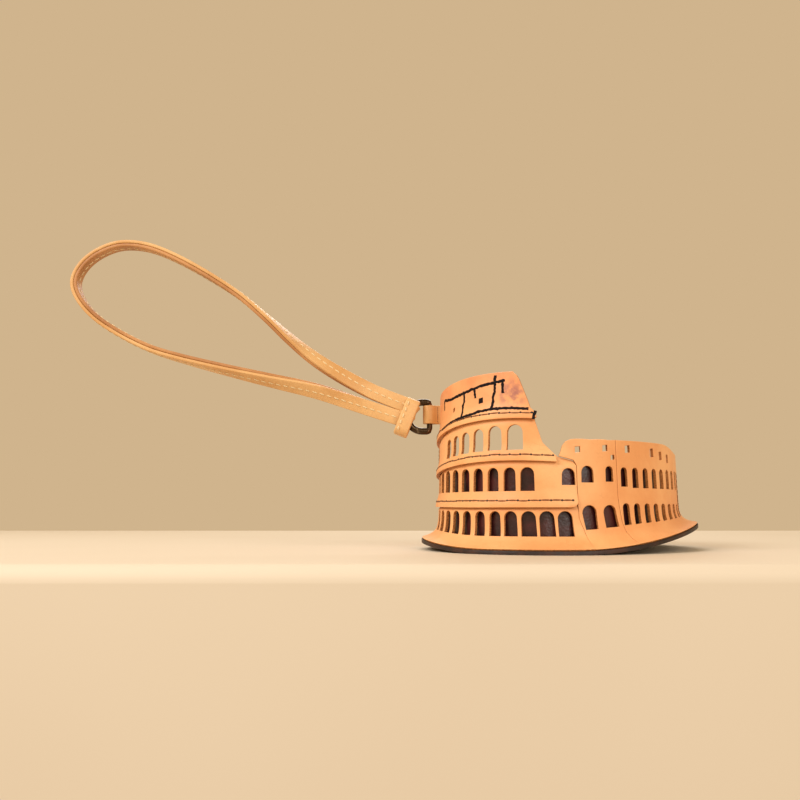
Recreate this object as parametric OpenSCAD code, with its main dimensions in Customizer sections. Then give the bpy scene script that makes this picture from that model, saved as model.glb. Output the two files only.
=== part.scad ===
// Leather amphitheatre charm: an oval ring of arcaded walls on a brimmed base,
// with a stepped tower, a metal ring and a stitched wrist strap.

/* [Oval wall] */
// Half of the wall's width, across X
half_width = 36; // [30:1:42]
// Half of the wall's length, along Y
half_length = 45; // [40:1:52]
// Thickness of the wall leather
leather = 1.4; // [1:0.1:1.8]
// How far the brim stands out from the wall
brim_out = 5; // [3:0.5:7]
// Thickness of the dark sole
sole_t = 1.3; // [1:0.1:2]
// How far the base's far end curls up off the table
curl_rise = 7; // [0:0.5:8]
// How far the base's end under the tower curls up
near_curl_rise = 2.3; // [0:0.1:3]
// How far the walls and the strap stand above the base's own level
foot_rise = 1.2; // [0:0.1:2]

/* [Heights] */
// Top of the tower
tower_top = 49.5; // [46:0.5:54]
// Lower edge of the attic strip
attic_edge = 36.1; // [35:0.1:37]
// Lower edge of the third storey strip
third_edge = 24.3; // [23.5:0.1:25]
// Lower edge of the second storey strip
second_edge = 11.4; // [11:0.1:12]
// Top of the low wall at its front
low_top = 30.2; // [29:0.1:32]
// Top of the low wall round the back
back_top = 28; // [27:0.5:29]
// Height of the dark lining
lining_top = 24; // [22:0.5:24]

/* [Arches] */
// Distance between the tower's arches along the wall
tower_pitch = 5; // [4.8:0.05:5.2]
// Width of the tower's arches
tower_arch_w = 3.3; // [2.6:0.1:3.8]
// Distance between the low wall's arches
low_pitch = 4.6; // [4.4:0.05:4.8]
// Width of the low wall's arches
low_arch_w = 2.5; // [2:0.1:3]

/* [Stitches] */
// Distance between the brown saddle stitches
stitch_pitch = 3; // [2.5:0.1:4]

/* [Ring and tab] */
// Half the ring's inner height, and the inner radius of its bow
ring_inner = 3.5; // [3.4:0.1:4]
// Thickness of the ring's limb in the ring's plane
ring_t = 2; // [1.4:0.1:2.2]
// Width of the ring's limb across its plane
ring_w = 2; // [1.6:0.1:2.4]
// Radius of the ring's straight bar
bar_r = 0.9; // [0.8:0.05:1]
// Height of the ring's centre
ring_z = 40.1; // [39:0.1:41]

/* [Strap] */
// Width of the strap
strap_w = 4.9; // [4:0.1:5.4]
// Thickness of each of the strap's two plies
ply_t = 1.1; // [0.8:0.1:1.2]

/* [Hidden] */
$fn = 48;

natural = [0.87, 0.62, 0.38];
edge_brown = [0.20, 0.10, 0.07];
plum = [0.22, 0.09, 0.10];
thread_brown = [0.28, 0.15, 0.08];
thread_pale = [0.93, 0.84, 0.66];
bronze = [0.22, 0.18, 0.14];

gap = 0.05;                // between pieces that are glued or sewn together
lip_t = 0.95;              // how far a strip's lower edge stands proud
lip_h = 2;                 // height of that proud edge
tower_left = -52;          // arc position of the tower's hidden end
curl_turn = 26;            // direction in which the base curls up
curl_start = 4;            // where the far curl starts, from the middle
near_curl_start = 20;      // where the curl under the tower starts
curl_end = 43;
skirt_low = -3;            // the walls start below the base and are cut off on it
back_seam = 79;            // arc position of the seam at the right end
crown_x = 5;               // the tower's edges are highest at this X

// ---- the oval, measured along its outline from its -Y end towards +X ----
function oval(t, off = 0) = [(half_width + off) * cos(t), (half_length + off) * sin(t)];
arc_steps = 720;
arc_table = [for (i = 0, s = 0; i <= arc_steps; i = i + 1,
        s = s + norm(oval(i / 2) - oval(i / 2 - 0.5))) [s, i / 2]];
perimeter = arc_table[arc_steps][0];
arc_bottom = lookup_arc(270);
function lookup_arc(t) = lookup(t, [for (p = arc_table) [p[1], p[0]]]);
function wrap(s) = s < 0 ? s + perimeter : s >= perimeter ? s - perimeter : s;
function angle_at(s) = lookup(wrap(s + arc_bottom), arc_table)
    + (s + arc_bottom >= perimeter ? 360 : s + arc_bottom < 0 ? -360 : 0);
function normal_at(t) = atan2(sin(t) / half_length, cos(t) / half_width);

// Puts children at arc position s: x runs along the wall, y inwards, z up
module at_arc(s, off = 0) {
    t = angle_at(s);
    p = oval(t, off);
    translate([p[0], p[1], 0]) rotate([0, 0, normal_at(t) + 90]) children();
}

// A stretch of wall between two arc positions, two offsets and two heights
module band(s0, s1, o0, o1, z0, z1) {
    t0 = angle_at(s0);
    t1 = angle_at(s1);
    n = ceil((t1 - t0) / 3);
    ts = [for (i = [0 : n]) t0 + (t1 - t0) * i / n];
    translate([0, 0, z0]) linear_extrude(z1 - z0) polygon(concat(
        [for (t = ts) oval(t, o1)],
        [for (i = [n : -1 : 0]) oval(ts[i], o0)]));
}

module oval_plate(off, z0, z1) {
    translate([0, 0, z0]) linear_extrude(z1 - z0) polygon([for (i = [0 : 119]) oval(i * 3, off)]);
}

function curl(u) =
    u > curl_start ? curl_rise * pow((u - curl_start) / (curl_end - curl_start), 2)
    : u < -near_curl_start ? near_curl_rise * pow((u + near_curl_start) / (curl_end - near_curl_start), 2)
    : 0;
function curl_at(s) = curl(oval(angle_at(s)) * [cos(curl_turn), sin(curl_turn)]);
// Everything less than dz above the curled surface the base lies on
module under_curl(dz) {
    reach = curl_end + 9;
    us = [for (i = [-16 : 16]) reach * i / 16];
    rotate([0, 0, curl_turn]) translate([0, 60, 0]) rotate([90, 0, 0]) linear_extrude(120)
        polygon(concat([[-reach, -9]], [for (u = us) [u, curl(u) + dz]], [[reach, -9]]));
}
// A layer of the base, between two heights above that surface
module base_layer(z0, z1) {
    difference() {
        intersection() {
            children();
            under_curl(z1);
        }
        under_curl(z0);
    }
}

// A cutter with the outline given as [along the wall, height]
module face_cut(s, outline, depth = 16) {
    at_arc(s) translate([0, depth / 2, 0]) rotate([90, 0, 0]) linear_extrude(depth) polygon(outline);
}

// A round-headed opening
module arch(s, w, z0, z1) {
    at_arc(s) {
        translate([-w / 2, -4, z0]) cube([w, 8, z1 - z0 - w / 2]);
        translate([0, 4, z1 - w / 2]) rotate([90, 0, 0]) cylinder(d = w, h = 8, $fn = 24);
    }
}

// A small hole, as wide as high or taller
module square_hole(s, w, z, tall = 1) {
    at_arc(s) translate([-w / 2, -4, z - tall * w / 2]) cube([w, 8, tall * w]);
}

// Everything under a crowned edge: highest at crown_x and falling to both sides
module under_crown(z, r) {
    translate([crown_x, 100, z - r]) rotate([90, 0, 0]) cylinder(r = r, h = 200, $fn = 180);
}
function crown(s, r) = let (dx = oval(angle_at(s))[0] - crown_x) r - sqrt(r * r - dx * dx);

third_crown = 180;
attic_crown = 125;
top_crown = 170;

columns = [for (i = [-5 : 10]) 2.3 + (i - 5) * tower_pitch];
tower_columns = [for (s = columns) if (s > tower_left + 2.5 && s < 24) s];
second_columns = [for (s = columns) if (s > tower_left + 2.5 && s < 14) s - 0.6];
wedge_columns = [23, 28.7, 36];
wedge_arch_w = 3.6;
low_columns = [for (i = [0 : 6]) 45.4 + i * low_pitch];
back_columns = [for (i = [0 : 24]) back_seam + 3 + i * (perimeter + tower_left - back_seam - 6) / 24];

// ---- seams, as [arc position, height] outlines, all in the frame at seam_s ----
seam_s = 25;
tower_seam = [[20.3, 25.4], [24.6, 24.2], [25.5, 22.8], [25.5, 13], [25.7, 8.5], [27, 5.2], [28.4, 0.8],
    [28.4, skirt_low]];
wedge_head = [[25.3, 31], [25.3, 30], [22.2, 29.6], [21.2, 27.9]];
seam2_s = 39;
wedge_seam = [[38.3, 31], [38.3, 14.4], [38.5, 12], [39.3, 6.9], [40.7, 2.2], [41.1, skirt_low]];
function shifted(outline, ds) = [for (p = outline) [p[0] + ds, p[1]]];

// Everything above the base stands this much higher than its own heights say
module raised() {
    translate([0, 0, foot_rise]) children();
}

// ---- base ----
module sole() {
    color(edge_brown) base_layer(0, sole_t) oval_plate(brim_out + 0.2, 0, 12);
}
module floor_panel() {
    color(natural) base_layer(sole_t, sole_t + 1) oval_plate(-leather - gap, 0, 12);
}
module lining() {
    color(plum) difference() {
        oval_plate(-leather - 2 * gap, 0, lining_top);
        oval_plate(-leather - 0.8, -1, lining_top + 1);
        under_curl(sole_t + 1 - foot_rise);
    }
}

// ---- tower strips: each has a proud lower edge that covers the strip below ----
module wall_with_brim(s0, s1, off, top) {
    base = sole_t - foot_rise;
    difference() {
        band(s0, s1, -leather, off, skirt_low, top);
        under_curl(base);
    }
    base_layer(base, base + leather) band(s0, s1, -leather, brim_out, skirt_low, 12);
}
module first_storey() {
    color(natural) difference() {
        wall_with_brim(tower_left, 32, 0, second_edge + lip_h - gap);
        for (s = tower_columns) arch(s, tower_arch_w, 3.9, 10.4);
        face_cut(seam_s, shifted(concat([[25.5, 20]], [for (i = [3 : 7]) tower_seam[i]], [[40, skirt_low],
            [40, 20]]), -seam_s));
    }
}
module strip(s0, s1, edge, top) {
    band(s0, s1, gap, lip_t, edge, edge + lip_h + 1);
    band(s0, s1, -leather, 0, edge + lip_h, top);
    band(s0, s1, -leather, lip_t, edge + lip_h, edge + lip_h + 1);
}
module second_storey() {
    color(natural) difference() {
        strip(tower_left, 30, second_edge, third_edge + lip_h);
        for (s = second_columns) arch(s, tower_arch_w, 15.9, 22.4);
        arch(wedge_columns[0], wedge_arch_w, 17.6, 22.2);
        difference() {
            band(tower_left - 1, 31, -leather - 1, lip_t + 1, third_edge - 6, third_edge + lip_h + 1);
            under_crown(third_edge + lip_h - gap, third_crown);
        }
        face_cut(seam_s, shifted([[20.3, 30], [20.3, 25.4], [24.6, 24.2], [25.5, 22.8], [25.5, 12.8],
            [24.8, 11.8], [23.8, 11.3], [23.8, 8], [40, 8], [40, 30]], -seam_s));
    }
}
window_s = [-17.4, -12.9, -8.3, -3.2, 2.4, 8.4];
window_w = [3, 3.1, 3.3, 3.6, 4.1, 4.5];
window_h = [5.6, 5.9, 6.2, 6.5, 6.9, 7.1];
left_s = -46;
module third_storey() {
    color(natural) difference() {
        union() {
            difference() {
                band(tower_left, 24, gap, lip_t, third_edge - 8, third_edge + lip_h + 1);
                under_crown(third_edge, third_crown);
            }
            difference() {
                band(tower_left, 24, -leather, 0, third_edge - 4, attic_edge + lip_h);
                under_crown(third_edge + lip_h, third_crown);
            }
            intersection() {
                difference() {
                    band(tower_left, 24, -leather, lip_t, third_edge - 4, third_edge + lip_h + 2);
                    under_crown(third_edge + lip_h, third_crown);
                }
                under_crown(third_edge + lip_h + 1, third_crown);
            }
        }
        difference() {
            band(tower_left - 1, 25, -leather - 1, lip_t + 1, attic_edge - 12, attic_edge + lip_h + 1);
            under_crown(attic_edge + lip_h - gap, attic_crown);
        }
        difference() {
            band(tower_left - 1, 25, 0, lip_t + 1, third_edge - 8, third_edge + lip_h + 4);
            under_crown(third_edge + lip_h + 1, third_crown);
        }
        for (i = [0 : len(window_s) - 1])
            let (z = third_edge + 3 - crown(window_s[i], third_crown))
                arch(window_s[i], window_w[i], z, z + window_h[i]);
        face_cut(14, shifted([[14.2, 40], [14.2, 35], [16.1, 29.2], [19.6, 25.4], [19.6, 20], [40, 20],
            [40, 40]], -14));
        face_cut(left_s, shifted([[-44.5, 40], [-44.5, 34], [-48, 28.5], [-51.5, 24], [-51.5, 16], [-60, 16],
            [-60, 40]], -left_s));
    }
}
module attic() {
    color(natural) difference() {
        intersection() {
            union() {
                difference() {
                    band(tower_left, 24, gap, lip_t, attic_edge - 12, attic_edge + lip_h + 1);
                    under_crown(attic_edge, attic_crown);
                }
                difference() {
                    band(tower_left, 24, -leather, 0, attic_edge - 8, tower_top);
                    under_crown(attic_edge + lip_h, attic_crown);
                }
                intersection() {
                    difference() {
                        band(tower_left, 24, -leather, lip_t, attic_edge - 8, attic_edge + lip_h + 2);
                        under_crown(attic_edge + lip_h, attic_crown);
                    }
                    under_crown(attic_edge + lip_h + 1, attic_crown);
                }
            }
            under_crown(tower_top, top_crown);
        }
        difference() {
            band(tower_left - 1, 25, 0, lip_t + 1, attic_edge - 12, attic_edge + lip_h + 4);
            under_crown(attic_edge + lip_h + 1, attic_crown);
        }
        square_hole(-2.2, 1.6, 41.8);
        square_hole(-14.4, 1.1, 40.3);
        face_cut(14, shifted([[8, 60], [8, 49.6], [9.4, 48.3], [12.2, 41.2], [12.9, 39], [14.6, 37.6], [14, 35],
            [14, 30], [40, 30], [40, 60]], -14));
        face_cut(left_s, shifted([[-39, 60], [-39, 46], [-41, 44], [-43.5, 38], [-44.5, 34], [-44.5, 25],
            [-60, 25], [-60, 60]], -left_s));
        in_strap_frame() translate([36, slot_w - 1.45, tab_z - tab_w / 2 - 0.15]) cube([8, 2.9, tab_w + 0.3]);
    }
}

// ---- low wall ----
module wedge_wall() {
    color(natural) difference() {
        wall_with_brim(17, 44, -0.3, low_top);
        arch(28.8, 4.6, 5.2, 12);
        arch(35.4, 4.3, 5.5, 12);
        arch(wedge_columns[1], wedge_arch_w, 18.1, 22.7);
        arch(wedge_columns[2], 2.6, 18.4, 22.8);
        square_hole(25.9, 1.6, 27.3);
        square_hole(34.8, 1.6, 27.8);
        square_hole(37, 1.3, 25.4);
        face_cut(seam_s, shifted(concat([[10, 31]], wedge_head, [for (p = tower_seam) [p[0] + gap, p[1]]],
            [[10, skirt_low]]), -seam_s));
        face_cut(seam2_s, shifted(concat(wedge_seam, [[52, skirt_low], [52, 31]]), -seam2_s));
    }
}
module right_wall() {
    color(natural) difference() {
        wall_with_brim(34, back_seam - gap, 0, low_top);
        arch(41.1, low_arch_w, 6.7, 12.3);
        for (s = low_columns) arch(s, low_arch_w, 6.7 + 0.06 * (s - 42), 12.6);
        for (s = low_columns) arch(s, low_arch_w, 16.9, 22.6);
        arch(40.6, low_arch_w, 17.6, 22.6);
        square_hole(42.7, 2, 27.9);
        for (i = [0 : 2]) square_hole(54 + 5.4 * i, 2, 27.2 - 0.6 * i, 1.3);
        face_cut(seam2_s, shifted(concat([[28, skirt_low], [28, 31]], [for (p = wedge_seam) [p[0] + gap, p[1]]]),
            -seam2_s));
        translate([0, -3, low_top]) rotate([-atan((low_top - back_top) / 17), 0, 0]) cube([50, 40, 10]);
    }
}
module back_wall() {
    color(natural) difference() {
        wall_with_brim(back_seam, perimeter + tower_left - gap, -0.2, back_top);
        for (s = back_columns) {
            arch(s, low_arch_w, max(4.8, curl_at(s) + 3.4), 12);
            arch(s, low_arch_w, 15.5, 21.5);
        }
    }
}

// ---- saddle stitches: small rounded bars let into the leather's face ----
module stitch(length, r) {
    rotate([0, 90, 0]) translate([0, 0, -length / 2]) cylinder(r = r, h = length, $fn = 16);
}
module stitch_row(s0, s1, z, r, off) {
    for (s = [s0 : stitch_pitch : s1])
        at_arc(s, off + 0.26) translate([0, 0, z - (r > 0 ? crown(s, r) : 0)]) stitch(1.9, 0.22);
}
module lower_stitches() {
    color(thread_brown) stitch_row(tower_left + 2, 24, second_edge + 1.7, 0, lip_t);
}
module middle_stitches() {
    color(thread_brown) stitch_row(tower_left + 2, 18.6, third_edge + 1.6, third_crown, lip_t);
}
module top_stitches() {
    color(thread_brown) stitch_row(-42, 13, attic_edge + 1.6, attic_crown, lip_t);
}
module upright_stitches(s, z0, z1, off) {
    for (z = [z0 : stitch_pitch : z1])
        at_arc(s, off + 0.26) translate([0, 0, z]) rotate([0, 90, 0]) stitch(1.9, 0.22);
}
module left_seam_stitches() {
    color(thread_brown) upright_stitches(-32.4, 25.8, 28.9, 0);
}
module back_seam_stitches() {
    color(thread_brown) upright_stitches(back_seam - 1.2, 9.8, 26, 0);
}

// ---- tab and ring, in a frame whose x points out along the strap ----
strap_turn = atan2(-0.6, -0.8);
slot_w = 8.87;             // where the wall faces exactly along the strap
bar_u = 42;                // the ring's bar, outside the wall
tab_w = 5.6;
tab_t = 2.6;
tab_inner_u = 35.2;        // the tab's inner end, behind the wall
tab_foot_w = 11;           // the foot that holds the tab behind the wall
tab_foot_t = 1.2;
knuckle_wall = 1.25;
tab_z = ring_z + 0.6;      // the ring hangs on the tab, a little lower
bow_u = 2.4;               // the bow's centre, from the bar
module in_strap_frame() {
    rotate([0, 0, strap_turn]) children();
}
module in_ring_frame() {
    in_strap_frame() translate([bar_u, slot_w, ring_z]) children();
}
module tab() {
    bore_r = bar_r + 0.08;
    color(natural) in_strap_frame() translate([0, slot_w, tab_z - tab_w / 2]) difference() {
        union() {
            translate([tab_inner_u, -tab_t / 2, 0]) cube([bar_u - tab_inner_u - 1, tab_t, tab_w]);
            translate([tab_inner_u, -tab_foot_w / 2, 0]) cube([tab_foot_t, tab_foot_w, tab_w]);
            translate([bar_u, 0, 0]) cylinder(r = bore_r + knuckle_wall, h = tab_w);
        }
        translate([bar_u, 0, -1]) cylinder(r = bore_r, h = tab_w + 2);
    }
}
module tab_stitches() {
    color(thread_brown) in_strap_frame() for (z = [-2 : 1 : 2])
        translate([39.95, slot_w + tab_t / 2 + 0.15, tab_z + z]) rotate([0, 90, 0]) stitch(0.7, 0.12);
}
module bow_sector(r0, r1, half_w, a0, a1) {
    translate([bow_u, 0, 0]) rotate([90, 0, 0]) rotate([0, 0, a0])
        rotate_extrude(angle = a1 - a0, $fn = 96) translate([r0, -half_w]) square([r1 - r0, 2 * half_w]);
}
module ring() {
    color(bronze) in_ring_frame() {
        bow_sector(ring_inner, ring_inner + ring_t, ring_w / 2, -90, 90);
        for (side = [0, 1]) mirror([0, 0, side])
            translate([-bar_r, -ring_w / 2, ring_inner]) cube([bow_u + bar_r, ring_w, ring_t]);
        translate([0, 0, -ring_inner - ring_t / 2]) cylinder(r = bar_r, h = 2 * ring_inner + ring_t);
    }
}

// ---- strap: two plies swept along a hand-set route in the strap's frame ----
route = [[52.6, 41], [57, 42.4], [66, 45], [78, 48.4], [92, 51.7], [106, 55], [120, 58.6], [131, 62],
    [141, 66.8], [149.5, 72.4], [155, 78.6], [156.8, 84.2], [154.6, 89.6], [149.6, 94], [142.5, 96.6],
    [134, 96], [125, 92.6], [114, 86.6], [103, 79.4], [94, 71.8], [86, 64.6], [78, 58.6], [69, 53.4],
    [61, 49.5], [55, 47.1], [51.2, 45.8]];
// Turn of the strap's face at each route point: 0 faces the front, 90 faces out of the loop
turns = [0, 4, 16, 34, 55, 72, 84, 90, 90, 90, 90, 90, 90, 90, 90, 90, 90, 90, 86, 78, 62, 42, 22, 8, 0, 0];
function spline(p, i, f) = let (n = len(p) - 1, a = p[max(0, i - 1)], b = p[i], c = p[min(n, i + 1)],
        d = p[min(n, i + 2)])
    0.5 * (2 * b + (c - a) * f + (2 * a - 5 * b + 4 * c - d) * f * f + (3 * b - a - 3 * c + d) * f * f * f);
sub = 3;
ply_gap = 0.2;
last = (len(route) - 1) * sub;
path = [for (k = [0 : last]) let (i = min(floor(k / sub), len(route) - 2)) spline(route, i, k / sub - i)];
face = [for (k = [0 : last]) let (i = min(floor(k / sub), len(turns) - 2))
    turns[i] + (turns[i + 1] - turns[i]) * (k / sub - i)];
function unit(v) = v / norm(v);
function tangent(k) = let (d = unit(path[min(last, k + 1)] - path[max(0, k - 1)])) [d[0], 0, d[1]];
// Outward normal of the strap's outer face, and the direction of its width
function face_normal(k) = let (t = tangent(k), o = [t[2], 0, -t[0]])
    sin(face[k]) * o + cos(face[k]) * [0, 1, 0];
function width_dir(k) = cross(tangent(k), face_normal(k));
function centre(k) = [path[k][0], slot_w, path[k][1]];
module sweep(z0, z1, half_w, k0, k1) {
    corners = [[-half_w, z0], [half_w, z0], [half_w, z1], [-half_w, z1]];
    pts = [for (k = [k0 : k1]) for (c = corners) centre(k) + c[0] * width_dir(k) + c[1] * face_normal(k)];
    n = k1 - k0;
    polyhedron(pts, concat([[0, 1, 2, 3]],
        // Both faces are split along the same diagonal, so that two plies lie evenly on each other
        [for (k = [0 : n - 1]) for (j = [0 : 3]) for (part = [0, 1])
            let (a = 4 * k + j, b = 4 * k + (j + 1) % 4)
                j < 2 ? (part == 0 ? [a, a + 4, b + 4] : [a, b + 4, b])
                : (part == 0 ? [a, a + 4, b] : [a + 4, b + 4, b])],
        [[4 * n + 3, 4 * n + 2, 4 * n + 1, 4 * n]]));
}
module strap_outer_ply() {
    color(natural) in_strap_frame() sweep(ply_gap / 2, ply_t, strap_w / 2, 0, last);
}
module strap_inner_ply() {
    color(natural) in_strap_frame() sweep(-ply_t, -ply_gap / 2, strap_w / 2, 0, last);
}
module strap_stitches() {
    color(thread_pale) in_strap_frame() for (k = [3 : last - 3]) {
        n = face_normal(k);
        t = tangent(k);
        translate(centre(k) + (ply_t + 0.22) * n)
            rotate([0, -atan2(t[2], t[0]), 0]) stitch(1.5, 0.2);
    }
}

// ---- hitch: the strap's bight round the ring's bow, and the band over both arms ----
hitch_turn = 18;           // the strap leaves the ring upwards
hitch_clear = 0.3;
fold_t = 2;                // the bight is two plies thick
fold_half = 34;            // half of the bow's stretch that it covers
hitch_band_l = 13.8;
hitch_band_w = 4.4;
hitch_band_t = 1.2;
hitch_band_x = 2.3;        // from the bow's centre to the band's near edge
hitch_front = ring_w / 2 + hitch_clear + fold_t + gap;
module hitch_wrap() {
    r0 = ring_inner - hitch_clear;
    r1 = ring_inner + ring_t + hitch_clear;
    half = ring_w / 2 + hitch_clear;
    color(natural) in_ring_frame() difference() {
        bow_sector(r0 - fold_t, r1 + fold_t, half + fold_t, hitch_turn - fold_half, hitch_turn + fold_half);
        bow_sector(r0, r1, half, hitch_turn - fold_half - 10, hitch_turn + fold_half + 10);
    }
}
// A frame at the bow's centre: x out along the strap, z along the band
module in_hitch_frame() {
    in_ring_frame() translate([bow_u, 0, 0]) rotate([0, -hitch_turn, 0]) children();
}
module hitch_band() {
    color(natural) in_hitch_frame() translate([hitch_band_x, hitch_front, -hitch_band_l / 2 - 1.6])
        cube([hitch_band_w, hitch_band_t, hitch_band_l]);
}
module hitch_stitches() {
    color(thread_pale) in_hitch_frame() for (i = [-3 : 1])
        translate([hitch_band_x + hitch_band_w - 1, hitch_front + hitch_band_t + 0.22, 2 * i])
            rotate([0, 90, 0]) stitch(1.4, 0.2);
}

sole();
floor_panel();
raised() lining();
raised() first_storey();
raised() second_storey();
raised() third_storey();
raised() attic();
raised() wedge_wall();
raised() right_wall();
raised() back_wall();
raised() lower_stitches();
raised() middle_stitches();
raised() top_stitches();
raised() left_seam_stitches();
raised() back_seam_stitches();
raised() tab();
raised() tab_stitches();
raised() ring();
raised() strap_outer_ply();
raised() strap_inner_ply();
raised() strap_stitches();
raised() hitch_wrap();
raised() hitch_band();
raised() hitch_stitches();
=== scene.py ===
"""Looks of a leather amphitheatre charm: arcaded walls, painted tower, ring and wrist strap."""

import logging
import math
import random
from dataclasses import dataclass, field
from enum import Enum
from typing import Callable, Iterable

import bmesh
import bpy
from mathutils import Matrix, Vector

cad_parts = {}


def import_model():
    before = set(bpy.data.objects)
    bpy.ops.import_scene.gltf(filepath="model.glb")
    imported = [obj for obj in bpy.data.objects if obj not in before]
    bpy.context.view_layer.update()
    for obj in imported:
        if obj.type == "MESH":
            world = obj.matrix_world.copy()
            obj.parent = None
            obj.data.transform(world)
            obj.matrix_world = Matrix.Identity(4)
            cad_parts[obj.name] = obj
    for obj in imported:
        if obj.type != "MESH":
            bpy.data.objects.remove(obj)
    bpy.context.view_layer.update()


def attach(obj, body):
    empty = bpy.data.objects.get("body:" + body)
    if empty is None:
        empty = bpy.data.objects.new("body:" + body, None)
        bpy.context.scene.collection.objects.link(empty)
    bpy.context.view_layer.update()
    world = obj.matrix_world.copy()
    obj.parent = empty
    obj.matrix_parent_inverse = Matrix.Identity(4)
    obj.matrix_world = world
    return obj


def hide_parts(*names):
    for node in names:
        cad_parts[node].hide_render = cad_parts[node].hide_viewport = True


LOG = logging.getLogger("charm")
MM = 0.001  # shapes are worked out in millimetres and scaled once, when a piece is finished
Point = tuple[float, float]
Shape = bmesh.types.BMesh


class Part(Enum):
    """The CAD bodies that pieces ride on."""

    MONUMENT = "monument"
    RING = "ring"
    STRAP = "strap"


class Slot(Enum):
    """The record's material slots."""

    NATURAL = "leather_natural"
    DARK = "leather_dark"
    PLUM = "leather_plum"
    BROWN_THREAD = "thread_brown"
    PALE_THREAD = "thread_pale"
    BRONZE = "bronze"


class Side(Enum):
    """The three sides of a leather panel, as material indices."""

    GRAIN = 0
    FLESH = 1
    CUT = 2


# ---------------------------------------------------------------- shader tools


def srgb(red: int, green: int, blue: int) -> tuple[float, float, float, float]:
    """Turns display values from 0 to 255 into a linear colour.

    Args:
        red: Red display value.
        green: Green display value.
        blue: Blue display value.

    Returns:
        The linear colour with full alpha.
    """

    def linear(value: int) -> float:
        """Undoes the display curve for one channel."""
        part = value / 255
        return part / 12.92 if part <= 0.04045 else ((part + 0.055) / 1.055) ** 2.4

    return (linear(red), linear(green), linear(blue), 1.0)


class Signal:
    """A number socket that Python's arithmetic works on."""

    def __init__(self, recipe: "Recipe", socket: bpy.types.NodeSocket) -> None:
        """Keeps the socket and the recipe that adds nodes for it."""
        self.recipe = recipe
        self.socket = socket

    def _math(self, operation: str, first: object, second: object) -> "Signal":
        """Adds a Math node for two values, each a Signal or a number."""
        made = self.recipe.node("ShaderNodeMath", {"operation": operation}, {0: first, 1: second})
        return Signal(self.recipe, made.outputs[0])

    def __add__(self, other: object) -> "Signal":
        """Sum."""
        return self._math("ADD", self, other)

    __radd__ = __add__

    def __sub__(self, other: object) -> "Signal":
        """Difference."""
        return self._math("SUBTRACT", self, other)

    def __rsub__(self, other: object) -> "Signal":
        """Difference with the number first."""
        return self._math("SUBTRACT", other, self)

    def __mul__(self, other: object) -> "Signal":
        """Product."""
        return self._math("MULTIPLY", self, other)

    __rmul__ = __mul__

    def between(self, low: float, high: float) -> "Signal":
        """Eases from 0 at low to 1 at high.

        Args:
            low: Value that gives 0.
            high: Value that gives 1.

        Returns:
            The eased share.
        """
        made = self.recipe.node(
            "ShaderNodeMapRange",
            {"interpolation_type": "SMOOTHSTEP"},
            {"Value": self, "From Min": low, "From Max": high},
        )
        return Signal(self.recipe, made.outputs["Result"])


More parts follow.
